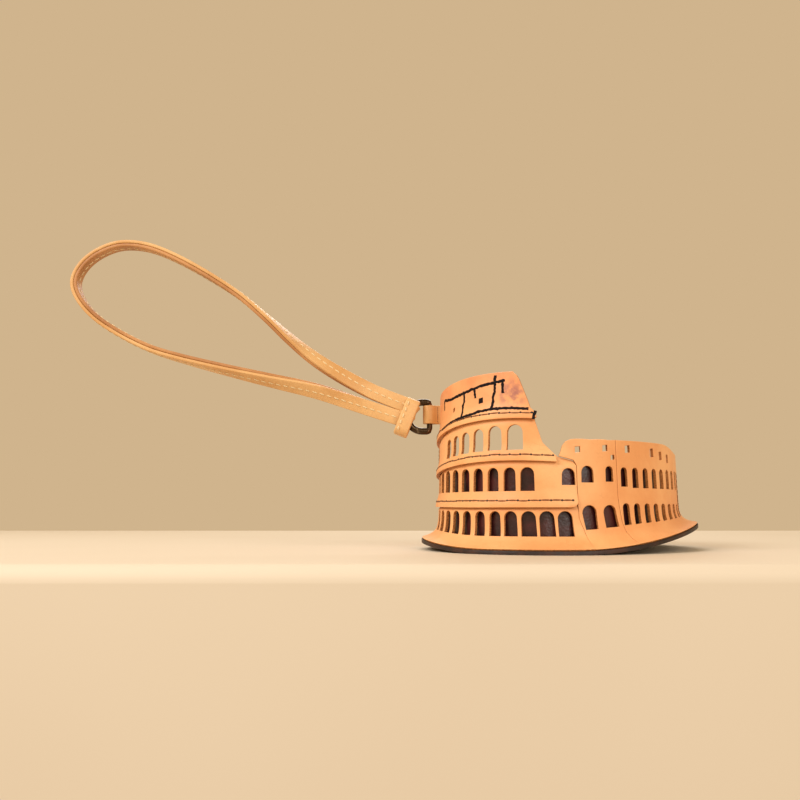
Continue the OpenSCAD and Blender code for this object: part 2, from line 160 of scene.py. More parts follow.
class Recipe:
    """Builds one material's nodes."""

    def __init__(self, name: str) -> None:
        """Starts a material with a Principled shader on its output."""
        self.material = bpy.data.materials.new(name)
        self.material.use_nodes = True
        self.tree = self.material.node_tree
        self.tree.nodes.clear()
        self.shader = self.node("ShaderNodeBsdfPrincipled")
        self.node("ShaderNodeOutputMaterial", {}, {"Surface": self.shader.outputs[0]})
        self.position = self.node("ShaderNodeTexCoord").outputs["Object"]

    def node(self, kind: str, settings: dict | None = None, inputs: dict | None = None) -> bpy.types.Node:
        """Adds a node.

        Args:
            kind: The node's type.
            settings: Properties, which are set first.
            inputs: Values, sockets or Signals by socket name or number.

        Returns:
            The node.
        """
        made = self.tree.nodes.new(kind)
        for name, value in (settings or {}).items():
            setattr(made, name, value)
        for key, value in (inputs or {}).items():
            self.feed(made.inputs[key], value)
        return made

    def feed(self, target: bpy.types.NodeSocket, value: object) -> None:
        """Links a Signal or socket to the target, or sets the value on it."""
        if isinstance(value, Signal):
            value = value.socket
        if isinstance(value, bpy.types.NodeSocket):
            self.tree.links.new(value, target)
        else:
            target.default_value = value

    def stretched(self, scale: tuple[float, float, float]) -> bpy.types.NodeSocket:
        """Position with each axis scaled, for fibres and scratches."""
        return self.node("ShaderNodeMapping", {}, {"Vector": self.position, "Scale": scale}).outputs[0]

    def noise(
        self, scale: float, detail: float = 3.0, vector: bpy.types.NodeSocket | None = None
    ) -> Signal:
        """Adds cloudy noise.

        Args:
            scale: Features per metre.
            detail: Octaves.
            vector: Where the pattern is read, or None for the object's own position.

        Returns:
            Values round one half.
        """
        made = self.node(
            "ShaderNodeTexNoise",
            {},
            {"Vector": vector or self.position, "Scale": scale, "Detail": detail},
        )
        return Signal(self, made.outputs[0])

    def cells(self, scale: float, feature: str = "F1") -> Signal:
        """Adds a cell pattern, for pores and fine cracks."""
        made = self.node(
            "ShaderNodeTexVoronoi", {"feature": feature}, {"Vector": self.position, "Scale": scale}
        )
        return Signal(self, made.outputs["Distance"])

    def height(self) -> Signal:
        """Height above the table, in metres."""
        return Signal(self, self.node("ShaderNodeSeparateXYZ", {}, {0: self.position}).outputs["Z"])

    def away_from(self, place: Vector) -> Signal:
        """Distance from a place, in metres."""
        made = self.node(
            "ShaderNodeVectorMath", {"operation": "DISTANCE"}, {0: self.position, 1: tuple(place)}
        )
        return Signal(self, made.outputs["Value"])

    def mix(self, share: object, first: object, second: object) -> bpy.types.NodeSocket:
        """Mixes two colours.

        Args:
            share: How much of the second colour, from 0 to 1.
            first: Colour or socket.
            second: Colour or socket.

        Returns:
            The mixed colour.
        """
        made = self.node("ShaderNodeMix", {"data_type": "RGBA"}, {0: share, 6: first, 7: second})
        return made.outputs[2]

    def surface(self, **values: object) -> None:
        """Feeds the shader's sockets; underscores in a name stand for spaces."""
        for name, value in values.items():
            self.feed(self.shader.inputs[name.replace("_", " ")], value)

    def relief(self, height: Signal, depth_mm: float, strength: float = 1.0) -> None:
        """Raises the surface by a bump of that depth."""
        made = self.node(
            "ShaderNodeBump", {}, {"Height": height, "Distance": depth_mm * MM, "Strength": strength}
        )
        self.feed(self.shader.inputs["Normal"], made.outputs[0])


# ---------------------------------------------------------------- finishes


@dataclass(frozen=True)
class NaturalLeather:
    """Vegetable-tanned leather, grain side out."""

    name: str
    pale: tuple = srgb(244, 184, 124)
    deep: tuple = srgb(232, 158, 98)
    blush: tuple = srgb(228, 140, 92)
    pore_mm: float = 0.45
    blush_from: float = 0.034
    stain: Vector | None = None
    stain_colour: tuple = srgb(146, 88, 96)
    roughness: float = 0.47

    def make(self) -> bpy.types.Material:
        """Builds mottled colour, a blush on high parts, fine creases darkened with painted shade, and pores.
        """
        recipe = Recipe(self.name)
        clouds = recipe.noise(55, 4).between(0.36, 0.66)
        grain = recipe.noise(900, 3)
        colour = recipe.mix(clouds * 0.75 + grain * 0.3 - 0.1, self.pale, self.deep)
        high = recipe.height().between(self.blush_from, self.blush_from + 0.014)
        patches = recipe.noise(110, 2).between(0.3, 0.7) * 0.5 + 0.25
        colour = recipe.mix(high * patches, colour, self.blush)
        if self.stain is not None:
            near = 1 - recipe.away_from(self.stain).between(0.001, 0.006)
            blotch = near * recipe.noise(520, 4).between(0.34, 0.66) * 0.75
            colour = recipe.mix(blotch, colour, self.stain_colour)
        creases = 1 - recipe.cells(420, "DISTANCE_TO_EDGE").between(0.0, 0.035)
        # painted shade: the fine creases are darkened towards a deeper brown, in patches
        crease_shade = creases * recipe.noise(160, 2).between(0.52, 0.72)
        colour = recipe.mix(crease_shade * 0.22, colour, srgb(176, 100, 46))
        pores = recipe.cells(1 / (self.pore_mm * MM))
        relief = pores * 0.5 + recipe.noise(3200, 2) * 0.45 - crease_shade * 0.35 + recipe.noise(210, 2) * 1.2
        recipe.surface(
            Base_Color=colour, Roughness=recipe.noise(300, 2) * 0.22 + (self.roughness - 0.1), IOR=1.46
        )
        recipe.relief(relief, 0.07, 0.55)
        return recipe.material


@dataclass(frozen=True)
class CutEdge:
    """The cut edge of leather, burnished and a little darker."""

    name: str
    light: tuple = srgb(214, 148, 84)
    dark: tuple = srgb(150, 88, 46)

    def make(self) -> bpy.types.Material:
        """Builds a layered, fibrous edge."""
        recipe = Recipe(self.name)
        fibres = recipe.noise(1500, 3, recipe.stretched((1, 1, 2.5)))
        recipe.surface(
            Base_Color=recipe.mix(fibres.between(0.3, 0.7), self.light, self.dark),
            Roughness=fibres * 0.2 + 0.48,
        )
        recipe.relief(fibres, 0.08, 0.5)
        return recipe.material


@dataclass(frozen=True)
class FleshSide:
    """The back of leather, matt and fibrous."""

    name: str
    light: tuple = srgb(224, 180, 128)
    dark: tuple = srgb(190, 138, 86)

    def make(self) -> bpy.types.Material:
        """Builds a suede nap."""
        recipe = Recipe(self.name)
        nap = recipe.noise(1300, 5)
        recipe.surface(
            Base_Color=recipe.mix(nap.between(0.34, 0.68) * 0.8, self.light, self.dark),
            Roughness=nap * 0.1 + 0.82,
        )
        recipe.relief(nap + recipe.noise(260, 2), 0.12, 0.6)
        return recipe.material


@dataclass(frozen=True)
class SoleLeather:
    """Dark waxed sole leather; its dark colours also paint the shade inside the needle holes."""

    name: str
    light: tuple = srgb(62, 32, 20)
    dark: tuple = srgb(30, 15, 11)

    def make(self) -> bpy.types.Material:
        """Builds dark leather with a worn, waxed surface."""
        recipe = Recipe(self.name)
        clouds = recipe.noise(240, 4).between(0.35, 0.68)
        recipe.surface(
            Base_Color=recipe.mix(clouds, self.dark, self.light),
            Roughness=recipe.noise(500, 3) * 0.3 + 0.36,
        )
        recipe.relief(recipe.cells(1900) + recipe.noise(900, 3), 0.07, 0.5)
        return recipe.material


@dataclass(frozen=True)
class PlumLining:
    """Glossy dark lining leather, pressed with a fine grain."""

    name: str
    light: tuple = srgb(74, 27, 29)
    dark: tuple = srgb(42, 13, 18)

    def make(self) -> bpy.types.Material:
        """Builds a glossy, faintly uneven dark surface."""
        recipe = Recipe(self.name)
        clouds = recipe.noise(170, 3).between(0.35, 0.65)
        recipe.surface(
            Base_Color=recipe.mix(clouds, self.dark, self.light),
            Roughness=recipe.noise(700, 2) * 0.16 + 0.26,
            Coat_Weight=recipe.noise(90, 2) * 0.3,
        )
        recipe.relief(recipe.cells(1500) * 0.5 + recipe.noise(150, 2), 0.16, 0.5)
        return recipe.material


@dataclass(frozen=True)
class WaxedThread:
    """Twisted, waxed thread."""

    name: str
    light: tuple
    dark: tuple

    def make(self) -> bpy.types.Material:
        """Builds the strands of a twisted thread as a slanted wave."""
        recipe = Recipe(self.name)
        twist = recipe.node(
            "ShaderNodeTexWave",
            {"bands_direction": "DIAGONAL"},
            {"Vector": recipe.position, "Scale": 900.0, "Distortion": 1.5},
        )
        strands = Signal(recipe, twist.outputs["Fac"])
        recipe.surface(
            Base_Color=recipe.mix(strands * 0.6 + recipe.noise(800, 2) * 0.4, self.dark, self.light),
            Roughness=recipe.noise(900, 2) * 0.2 + 0.5,
        )
        recipe.relief(strands, 0.05, 0.6)
        return recipe.material


@dataclass(frozen=True)
class AntiqueBronze:
    """Dark plated metal that has worn bright in places."""

    name: str
    dark: tuple = srgb(74, 58, 42)
    bright: tuple = srgb(226, 208, 172)

    def make(self) -> bpy.types.Material:
        """Builds dark metal with bright, scratched patches."""
        recipe = Recipe(self.name)
        worn = recipe.noise(360, 4).between(0.5, 0.68)
        scratches = recipe.noise(1600, 2, recipe.stretched((1, 6, 1)))
        recipe.surface(
            Base_Color=recipe.mix(worn * 0.8, self.dark, self.bright),
            Metallic=0.95,
            Roughness=scratches * 0.22 + 0.14,
        )
        recipe.relief(scratches + recipe.noise(420, 3), 0.05, 0.4)
        return recipe.material


@dataclass(frozen=True)
class BrushedInk:
    """Thick black lines drawn by hand."""

    name: str
    dark: tuple = srgb(12, 3, 8)
    thin: tuple = srgb(44, 16, 18)

    def make(self) -> bpy.types.Material:
        """Builds ink that is thinner here and there."""
        recipe = Recipe(self.name)
        thin = recipe.noise(1100, 3).between(0.58, 0.78)
        recipe.surface(
            Base_Color=recipe.mix(thin, self.dark, self.thin),
            Roughness=recipe.noise(900, 2) * 0.2 + 0.6,
            Specular_IOR_Level=0.2,
        )
        recipe.relief(recipe.noise(2600, 2), 0.03, 0.5)
        return recipe.material


@dataclass(frozen=True)
class StudioPaint:
    """Plain matt paint of the set."""

    name: str
    light: tuple
    dark: tuple

    def make(self) -> bpy.types.Material:
        """Builds a nearly even matt colour."""
        recipe = Recipe(self.name)
        recipe.surface(
            Base_Color=recipe.mix(recipe.noise(7, 2).between(0.2, 0.8), self.light, self.dark),
            Roughness=recipe.noise(40, 2) * 0.1 + 0.7,
        )
        return recipe.material


# ---------------------------------------------------------------- shape tools


def ease(value: float, low: float, high: float) -> float:
    """Eases from 0 at low to 1 at high."""
    share = min(1.0, max(0.0, (value - low) / (high - low)))
    return share * share * (3 - 2 * share)


def cut_panel(outline: list[Point], holes: list[list[Point]], thickness: float, rim: float = 0.12) -> Shape:
    """Cuts a flat panel with rounded rims; its grain side is at depth 0 and faces +Z.

    Args:
        outline: Corners of the panel.
        holes: Corners of each opening.
        thickness: Thickness of the leather.
        rim: How far the grain side's rims are rounded.

    Returns:
        The panel, closed all round.
    """
    shape = bmesh.new()
    for loop in (outline, *holes):
        corners = [shape.verts.new((along, up, 0.0)) for along, up in loop]
        for first, second in zip(corners, corners[1:] + corners[:1]):
            shape.edges.new((first, second))
    bmesh.ops.triangle_fill(shape, use_beauty=True, edges=shape.edges[:], normal=(0, 0, 1))
    grown = bmesh.ops.extrude_face_region(shape, geom=shape.faces[:])["geom"]
    fresh = [item for item in grown if isinstance(item, bmesh.types.BMVert)]
    bmesh.ops.translate(shape, vec=(0, 0, -thickness), verts=fresh)
    bmesh.ops.recalc_face_normals(shape, faces=shape.faces[:])
    if rim > 0:
        rims = [
            edge
            for edge in shape.edges
            if abs(edge.verts[0].co.z) + abs(edge.verts[1].co.z) < 1e-6
            and any(abs(face.normal.z) < 0.5 for face in edge.link_faces)
        ]
        bmesh.ops.bevel(
            shape, geom=rims, offset=rim, affect="EDGES", segments=2, profile=0.5, material=-1,
            clamp_overlap=False,
        )
    return shape


def sort_sides(shape: Shape) -> None:
    """Gives each face of a flat panel the material index of its side."""
    shape.normal_update()
    for face in shape.faces:
        if face.normal.z > 0.3:
            face.material_index = Side.GRAIN.value
        elif face.normal.z < -0.9:
            face.material_index = Side.FLESH.value
        else:
            face.material_index = Side.CUT.value


def slice_along(shape: Shape, direction: Vector, step: float) -> None:
    """Cuts faces at even steps along a direction, so that the panel can bend."""
    spots = [vert.co.dot(direction) for vert in shape.verts]
    low, high = min(spots), max(spots)
    count = int((high - low) / step)
    for index in range(1, count + 1):
        bmesh.ops.bisect_plane(
            shape,
            geom=shape.verts[:] + shape.edges[:] + shape.faces[:],
            dist=1e-5,
            plane_co=direction * (low + (high - low) * index / (count + 1)),
            plane_no=direction,
        )


def bend(shape: Shape, place: Callable[[float, float, float], Vector]) -> None:
    """Moves each point of a flat shape to where place says."""
    for vert in shape.verts:
        vert.co = place(*vert.co)


def sweep(frames: list[tuple[Vector, Vector, Vector]], section: list[Point], closed: bool = False) -> Shape:
    """Sweeps a closed section along frames of (centre, across, up).

    Args:
        frames: Where the section stands, with the directions of its two axes.
        section: Corners of the section.
        closed: Whether the last frame joins the first.

    Returns:
        The closed shape.
    """
    steps = len(frames) if closed else len(frames) - 1
    shape = bmesh.new()
    bmesh.ops.create_grid(shape, x_segments=steps, y_segments=len(section), size=0.5)
    for vert in shape.verts:
        centre, across, up = frames[round((vert.co.x + 0.5) * steps) % len(frames)]
        along, out = section[round((vert.co.y + 0.5) * len(section)) % len(section)]
        vert.co = centre + across * along + up * out
    bmesh.ops.remove_doubles(shape, verts=shape.verts[:], dist=1e-5)
    open_edges = [edge for edge in shape.edges if edge.is_boundary]
    if open_edges:
        bmesh.ops.holes_fill(shape, edges=open_edges)
    bmesh.ops.recalc_face_normals(shape, faces=shape.faces[:])
    return shape


def rounded(half_along: float, low: float, high: float, radius: float, steps: int = 3) -> list[Point]:
    """A rectangle with rounded corners, as a section.

    Args:
        half_along: Half of its width.
        low: Its lower side.
        high: Its upper side.
        radius: Radius of its corners.
        steps: Faces round each corner.

    Returns:
        The corners, all the way round.
    """
    corners = (
        (half_along - radius, high - radius, 0),
        (radius - half_along, high - radius, 90),
        (radius - half_along, low + radius, 180),
        (half_along - radius, low + radius, 270),
    )
    found = []
    for x, y, start in corners:
        turns = [math.radians(start + 90 * k / steps) for k in range(steps + 1)]
        found += [(x + radius * math.cos(turn), y + radius * math.sin(turn)) for turn in turns]
    return found


def add_bead(
    shape: Shape, centre: Vector, along: Vector, out: Vector, size: tuple[float, float, float]
) -> None:
    """Adds a stretched bead: a stitch of thread, or a dark mark of painted shade where a needle went
    through.

    Args:
        shape: Where it is added.
        centre: Its middle.
        along: Direction of its length.
        out: Direction of its height.
        size: Its length, width and height, halved.
    """
    along = along.normalized()
    across = out.cross(along).normalized()
    turn = Matrix((across, along.cross(across), along)).transposed().to_4x4()
    grow = Matrix.Diagonal((size[1], size[2], size[0], 1))
    bmesh.ops.create_uvsphere(
        shape, u_segments=8, v_segments=6, radius=1, matrix=Matrix.Translation(centre) @ turn @ grow
    )


@dataclass(frozen=True)
class Dressing:
    """What a finished shape is dressed in and rides on."""

    part: Part
    slot: Slot
    finishes: tuple[bpy.types.Material, ...]
    sharp: float = 42.0
    weighted: bool = False


def finish_piece(name: str, shape: Shape, dressing: Dressing, *nodes: str) -> bpy.types.Object:
    """Makes a piece from a shape in millimetres.

    Args:
        name: The piece's name.
        shape: Its shape, which is used up.
        dressing: Its body and finishes; its slot is not used.
        nodes: The CAD nodes that it stands for.

    Returns:
        The piece.
    """
    bmesh.ops.scale(shape, vec=(MM, MM, MM), verts=shape.verts[:])
    shape.normal_update()
    for face in shape.faces:
        face.smooth = True
    for edge in shape.edges:
        if len(edge.link_faces) == 2 and edge.calc_face_angle(0.0) > math.radians(dressing.sharp):
            edge.smooth = False
    mesh = bpy.data.meshes.new(name)
    shape.to_mesh(mesh)
    shape.free()
    for material in dressing.finishes:
        mesh.materials.append(material)
    piece = bpy.data.objects.new(name, mesh)
    bpy.context.scene.collection.objects.link(piece)
    if dressing.weighted:
        piece.modifiers.new("even_light", "WEIGHTED_NORMAL").keep_sharp = True
    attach(piece, dressing.part.value)
    if nodes:
        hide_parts(*nodes)
    LOG.info("%s: %d faces", name, len(mesh.polygons))
    return piece


# ---------------------------------------------------------------- the oval wall


@dataclass(frozen=True)
class Oval:
    """The wall's oval, measured along its outline from its -Y end towards +X."""

    half_width: float = 36.0
    half_length: float = 45.0
    steps: int = 1440
    table: tuple[float, ...] = field(init=False)

    def __post_init__(self) -> None:
        """Adds up the outline's length from its -Y end."""
        lengths = [0.0]
        for index in range(self.steps):
            step = self.at_turn(index + 1) - self.at_turn(index)
            lengths.append(lengths[-1] + step.length)
        object.__setattr__(self, "table", tuple(lengths))

    def at_turn(self, index: float, off: float = 0.0) -> Vector:
        """The point at a share of the full turn, that far outside the oval."""
        angle = math.radians(270 + 360 * index / self.steps)
        across = (self.half_width + off) * math.cos(angle)
        return Vector((across, (self.half_length + off) * math.sin(angle), 0))

    @property
    def length(self) -> float:
        """Length of the whole outline."""
        return self.table[-1]

    def index_at(self, along: float) -> float:
        """The share of the turn at a length along the outline."""
        laps, rest = divmod(along, self.length)
        low, high = 0, self.steps
        while high - low > 1:
            middle = (low + high) // 2
            if self.table[middle] <= rest:
                low = middle
            else:
                high = middle
        share = (rest - self.table[low]) / (self.table[high] - self.table[low])
        return laps * self.steps + low + share

    def at(self, along: float, off: float = 0.0) -> Vector:
        """The point at a length along the outline, that far outside it."""
        return self.at_turn(self.index_at(along), off)

    def outward(self, along: float) -> Vector:
        """The outward direction there."""
        point = self.at(along)
        return Vector((point.x / self.half_width**2, point.y / self.half_length**2, 0)).normalized()


@dataclass(frozen=True)
class Foot:
    """How the wall leather bends out into the brim, and how the base curls up at its far end."""

    oval: Oval
    bend_height: float = 4.0
    skirt_height: float = 9.0
    skirt_out: float = 0.5
    rise: float = 1.2
    brim_run: float = 6.7
    brim_pull: Point = (1.5, 1.9)
    rim_out: float = 5.0
    rim_height: float = 0.4
    sole_top: float = -0.08
    curl_rise: float = 7.0
    curl_turn: float = 26.0
    curl_start: float = 4.0
    curl_end: float = 43.0
    near_rise: float = 2.3
    near_start: float = 20.0
    curl_fade: float = 10.0
    lean: float = 0.021

    def curl(self, point: Vector) -> float:
        """How far the base is lifted there."""
        turn = math.radians(self.curl_turn)
        reach = point.x * math.cos(turn) + point.y * math.sin(turn)
        far = max(0.0, reach - self.curl_start) / (self.curl_end - self.curl_start)
        near = max(0.0, -reach - self.near_start) / (self.curl_end - self.near_start)
        return self.curl_rise * far**2 + self.near_rise * near**2

    def on_sheet(self, along: float, height: float) -> float:
        """Where on the sheet a height lies, because the curl pushes the wall's foot up."""
        lift = self.curl(self.oval.at(along))
        top = self.bend_height + self.curl_fade
        if height > top:
            return height
        return (height - top * lift / self.curl_fade) / (1 - lift / self.curl_fade)

    def place(self, along: float, up: float, out: float) -> Vector:
        """Where a point of the sheet goes.

        Args:
            along: Length along the oval.
            up: Height on the sheet; below the bend it runs out into the brim.
            out: How far it stands outside the wall's own face.

        Returns:
            The point.
        """
        if up >= self.bend_height:
            below = max(0.0, (self.skirt_height - up) / (self.skirt_height - self.bend_height))
            skirt = self.skirt_out * below**2
            point = self.oval.at(along, out + skirt - self.lean * up)
            point.z = up
            fade = max(0.0, 1 - (up - self.bend_height) / self.curl_fade)
        else:
            share = (self.bend_height - up) / self.brim_run
            start = Vector((self.skirt_out - self.lean * self.bend_height, self.bend_height))
            pull = Vector(self.brim_pull)
            end = Vector((self.rim_out, self.rim_height))
            spot = start * (1 - share) ** 2 + pull * (2 * share * (1 - share)) + end * share**2
            run = ((pull - start) * (1 - share) + (end - pull) * share).normalized()
            spot = spot + Vector((-run.y, run.x)) * out
            point = self.oval.at(along, spot.x)
            point.z = max(self.sole_top, spot.y)
            fade = 1.0
        point.z += self.curl(point) * fade + self.rise
        return point


@dataclass(frozen=True)
class Strip:
    """A strip of wall leather whose proud lower edge covers the strip below it."""

    foot: Foot
    edge: float | None = None
    edge_crown: float = 0.0
    top_edge: float | None = None
    top_crown: float = 0.0
    top: float = 0.0
    set_back: float = 0.0
    leather: float = 1.0
    lip: float = 0.95
    lip_fade: float = 5.0
    tuck: float = 1.0
    crown_x: float = 5.0
    cover: float = 2.0

    def drop(self, along: float, crown: float) -> float:
        """How far a crowned line has dropped there; a crown of 0 is level."""
        if crown == 0:
            return 0.0
        off = self.foot.oval.at(along).x - self.crown_x
        return crown - math.sqrt(crown * crown - off * off)

    def edge_at(self, along: float) -> float:
        """Height of the proud lower edge."""
        return self.edge - self.drop(along, self.edge_crown)

    def top_at(self, along: float) -> float:
        """Height of the strip's top, which is tucked away where another strip covers it."""
        if self.top_edge is None:
            return self.top - self.drop(along, self.top_crown)
        return self.top_edge + self.cover - self.drop(along, self.top_crown)

    def place(self, along: float, up: float, depth: float) -> Vector:
        """Bends a point of the flat panel onto the wall.

        Args:
            along: Length along the oval.
            up: Height on the sheet.
            depth: Depth in the leather, 0 at its grain side and negative inwards.

        Returns:
            The point.
        """
        out = depth - self.set_back
        if self.edge is not None:
            out += self.lip * (1 - ease(up - self.edge_at(along), 0.4, self.lip_fade))
        if self.top_edge is not None:
            cover = self.top_edge - self.drop(along, self.top_crown)
            out -= self.tuck * ease(up - cover, -1.0, 1.0)
        return self.foot.place(along, up, out)

    def outward(self, along: float) -> Vector:
        """The wall's outward direction."""
        return self.foot.oval.outward(along)


def arch(
    along: float, width: float, low: float, high: float, lean: float = 0.0, steps: int = 10
) -> list[Point]:
    """A round-headed opening.

    Args:
        along: Its middle at the head.
        width: Its width.
        low: Height of its sill.
        high: Height of its crown.
        lean: How far its sill is shifted along the wall.
        steps: Faces round its head.

    Returns:
        Its corners.
    """
    half = width / 2
    spring = high - half
    head = [
        (along + half * math.cos(math.pi * k / steps), spring + half * math.sin(math.pi * k / steps))
        for k in range(steps + 1)
    ]
    return [(along + lean - half * 1.04, low), (along + lean + half * 1.04, low), *head]


def square(along: float, height: float, width: float, slant: float = 0.1, tall: float = 1.0) -> list[Point]:
    """A small opening, cut a little askew, as wide as high or taller."""
    half = width / 2
    rise = half * tall
    return [
        (along - half, height - rise - slant),
        (along + half, height - rise + slant),
        (along + half * 0.94, height + rise + slant),
        (along - half * 0.96, height + rise - slant),
    ]


def line_of(first: float, last: float, height: Callable[[float], float], step: float = 2.0) -> list[Point]:
    """Points of an edge from one place on the wall to another, at a height that may change."""
    count = max(1, round(abs(last - first) / step))
    spots = [first + (last - first) * k / count for k in range(count + 1)]
    return [(spot, height(spot)) for spot in spots]


@dataclass
class WallWork:
    """What every wall panel shares: the foot, the leather finishes and the sizes of the slices."""

    foot: Foot
    grain: bpy.types.Material
    flesh: bpy.types.Material
    cut: bpy.types.Material
    thread: bpy.types.Material
    hole_shade: bpy.types.Material
    slice_along_wall: float = 1.4
    slice_up: float = 0.9
    stitch_pitch: float = 3.0

    def panel(self, name: str, strip: Strip, outline: list[Point], holes: list[list[Point]]) -> None:
        """Makes one wall panel.

        Args:
            name: The CAD node that it stands for.
            strip: How it lies on the wall.
            outline: Its outline on the flat sheet.
            holes: Its openings.
        """
        shape = cut_panel(outline, holes, strip.leather)
        sort_sides(shape)
        slice_along(shape, Vector((1, 0, 0)), self.slice_along_wall)
        slice_along(shape, Vector((0, 1, 0)), self.slice_up)
        bend(shape, strip.place)
        dressing = Dressing(Part.MONUMENT, Slot.NATURAL, (self.grain, self.flesh, self.cut), weighted=True)
        finish_piece(f"{name}_leather", shape, dressing, name)

    def stitches(self, node: str, strip: Strip, holes: list[Point]) -> None:
        """Sews a row of saddle stitches through needle holes.

        Args:
            node: The CAD node that the thread stands for.
            strip: The strip it is sewn on.
            holes: Where the needle went through, in order.
        """
        spots = [strip.place(along, up, 0.0) for along, up in holes]
        outs = [strip.outward(along) for along, _ in holes]
        thread = bmesh.new()
        hole_shade_marks = bmesh.new()
        dice = random.Random(node)
        for index, (spot, out) in enumerate(zip(spots, outs)):
            ahead = spots[index + 1] if index + 1 < len(spots) else 2 * spot - spots[index - 1]
            run = ahead - spot
            size = dice.uniform(0.3, 0.4)
            # painted shade: a dark bead on each of the needle holes stands for the shade inside them
            add_bead(hole_shade_marks, spot + out * 0.02, run, out, (size, size * 0.85, 0.1))
            if index + 1 < len(spots):
                middle = (spot + ahead) / 2 + out * 0.06
                sag = run.normalized().cross(out) * dice.uniform(-0.12, 0.12)
                add_bead(thread, middle + sag, run, out, (run.length * 0.46, 0.22, 0.17))
        sewn = Dressing(Part.MONUMENT, Slot.BROWN_THREAD, (self.thread,))
        finish_piece(f"{node}_thread", thread, sewn, node)
        # the dark beads are painted shade in the needle holes
        finish_piece(f"{node}_holes", hole_shade_marks, Dressing(Part.MONUMENT, Slot.BROWN_THREAD, (self.hole_shade,)))


# ---------------------------------------------------------------- tower


@dataclass
class Tower:
    """The stepped tower: three arcaded strips and the painted attic above them."""

    work: WallWork
    ink: bpy.types.Material
    left: float = -52.0
    arch_width: float = 3.3
    pitch: float = 5.0
    first_arch: float = 2.3
    second_edge: float = 11.4
    third_edge: float = 24.3
    attic_edge: float = 36.1
    top: float = 49.5
    third_crown: float = 180.0
    attic_crown: float = 125.0
    top_crown: float = 170.0
    seam: tuple = ((25.5, 13.0), (25.7, 8.5), (27.0, 5.2), (27.6, 3.0))
    seam_foot: float = 28.4
    ink_width: float = 0.95
    first_row: Point = (3.4, 10.4)
    second_row: Point = (15.9, 22.4)
    second_shift: float = 0.6
    tab_slot: float = -36.35
    tab_slot_half: float = 1.5
    tab_slot_heights: Point = (36.7, 43.1)

    def columns(self, last: float) -> list[float]:
        """Places of the arches up to the last one."""
        spots = [self.first_arch + self.pitch * k for k in range(-10, 5)]
        return [spot for spot in spots if spot <= last]

    def build(self) -> None:
        """Makes the four strips, their stitches and the painting."""
        self.first_storey()
        second = self.second_storey()
        third = self.third_storey()
        attic = self.attic()
        self.sew("lower_stitches", second, self.left + 2, 24.0, 1.9)
        self.sew("middle_stitches", third, self.left + 3, 18.9, 1.7)
        self.sew("top_stitches", attic, -42.0, 13.4, 1.6)
        wall = Strip(self.work.foot)
        self.work.stitches("left_seam_stitches", wall, [(-32.4, 24.9 + 1.2 * k) for k in range(5)])
        self.paint(attic)

    def sew(self, node: str, strip: Strip, first: float, last: float, above: float) -> None:
        """Sews the row above a strip's proud edge."""
        count = round((last - first) / self.work.stitch_pitch)
        spots = [first + (last - first) * k / count for k in range(count + 1)]
        self.work.stitches(node, strip, [(spot, strip.edge_at(spot) + above) for spot in spots])

    def first_storey(self) -> None:
        """Makes the lowest strip, which bends out into the brim."""
        foot = self.work.foot
        strip = Strip(foot, top_edge=self.second_edge)
        low = foot.bend_height - foot.brim_run
        right = [(self.seam_foot, low), *reversed(self.seam), (self.seam[0][0], strip.top_at(25))]
        outline = [(self.left, strip.top_at(self.left)), (self.left, low), *right]
        holes = [
            arch(
                spot - 0.5 * ease(spot, 0.0, 8.0),
                self.arch_width + 0.8 * ease(spot, 2.0, 14.0),
                *self.first_row,
                0.3,
            )
            for spot in self.columns(22.3)
        ]
        self.work.panel("first_storey", strip, outline, holes)

    def second_storey(self) -> Strip:
        """Makes the second strip and returns how it lies."""
        strip = Strip(
            self.work.foot, self.second_edge, 0.0, self.third_edge, self.third_crown
        )
        outline = [
            *line_of(self.left, 23.6, strip.edge_at),
            (24.5, 11.6), (25.2, 12.1), (25.45, 12.9), (25.45, 22.8), (24.6, 24.2), (20.3, 25.3),
            *line_of(19.8, self.left, strip.top_at),
        ]
        holes = [
            arch(spot - self.second_shift, self.arch_width + 0.5 * ease(spot, 6.0, 12.0), *self.second_row)
            for spot in self.columns(12.3)
        ]
        holes.append(arch(23.1, 3.7, 17.5, 22.1))
        self.work.panel("second_storey", strip, outline, holes)
        return strip

    def third_storey(self) -> Strip:
        """Makes the strip with the open windows and returns how it lies."""
        strip = Strip(
            self.work.foot, self.third_edge, self.third_crown, self.attic_edge, self.attic_crown
        )
        outline = [
            *line_of(-51.3, 19.9, strip.edge_at),
            (19.6, 25.6), (16.1, 29.2), (14.2, 35.0),
            *line_of(13.6, -44.4, strip.top_at),
            (-48.0, 28.5),
        ]
        windows = (
            (-17.4, 3.0, 5.6), (-12.9, 3.1, 5.9), (-8.3, 3.3, 6.2), (-3.2, 3.6, 6.5), (2.4, 4.1, 6.9),
            (8.4, 4.5, 7.1),
        )
        sills = [strip.edge_at(spot) + 3 for spot, _, _ in windows]
        holes = [
            arch(spot, width, sill, sill + tall)
            for (spot, width, tall), sill in zip(windows, sills)
        ]
        self.work.panel("third_storey", strip, outline, holes)
        return strip

    def attic(self) -> Strip:
        """Makes the top strip and returns how it lies."""
        strip = Strip(
            self.work.foot, self.attic_edge, self.attic_crown, None, self.top_crown, self.top
        )
        outline = [
            *line_of(-44.2, 14.0, strip.edge_at),
            (14.6, 36.2), (14.5, 37.5), (12.9, 39.0), (12.2, 41.2), (9.8, 47.3), (9.1, 48.4),
            *line_of(8.0, -38.8, strip.top_at),
            (-41.0, 44.0), (-43.5, 38.0),
        ]
        near, far = self.tab_slot - self.tab_slot_half, self.tab_slot + self.tab_slot_half
        low, high = self.tab_slot_heights
        slot = [(near, low), (far, low), (far, high), (near, high)]
        holes = [square(-14.4, 40.3, 1.1, 0.25), slot]
        self.work.panel("attic", strip, outline, holes)
        return strip

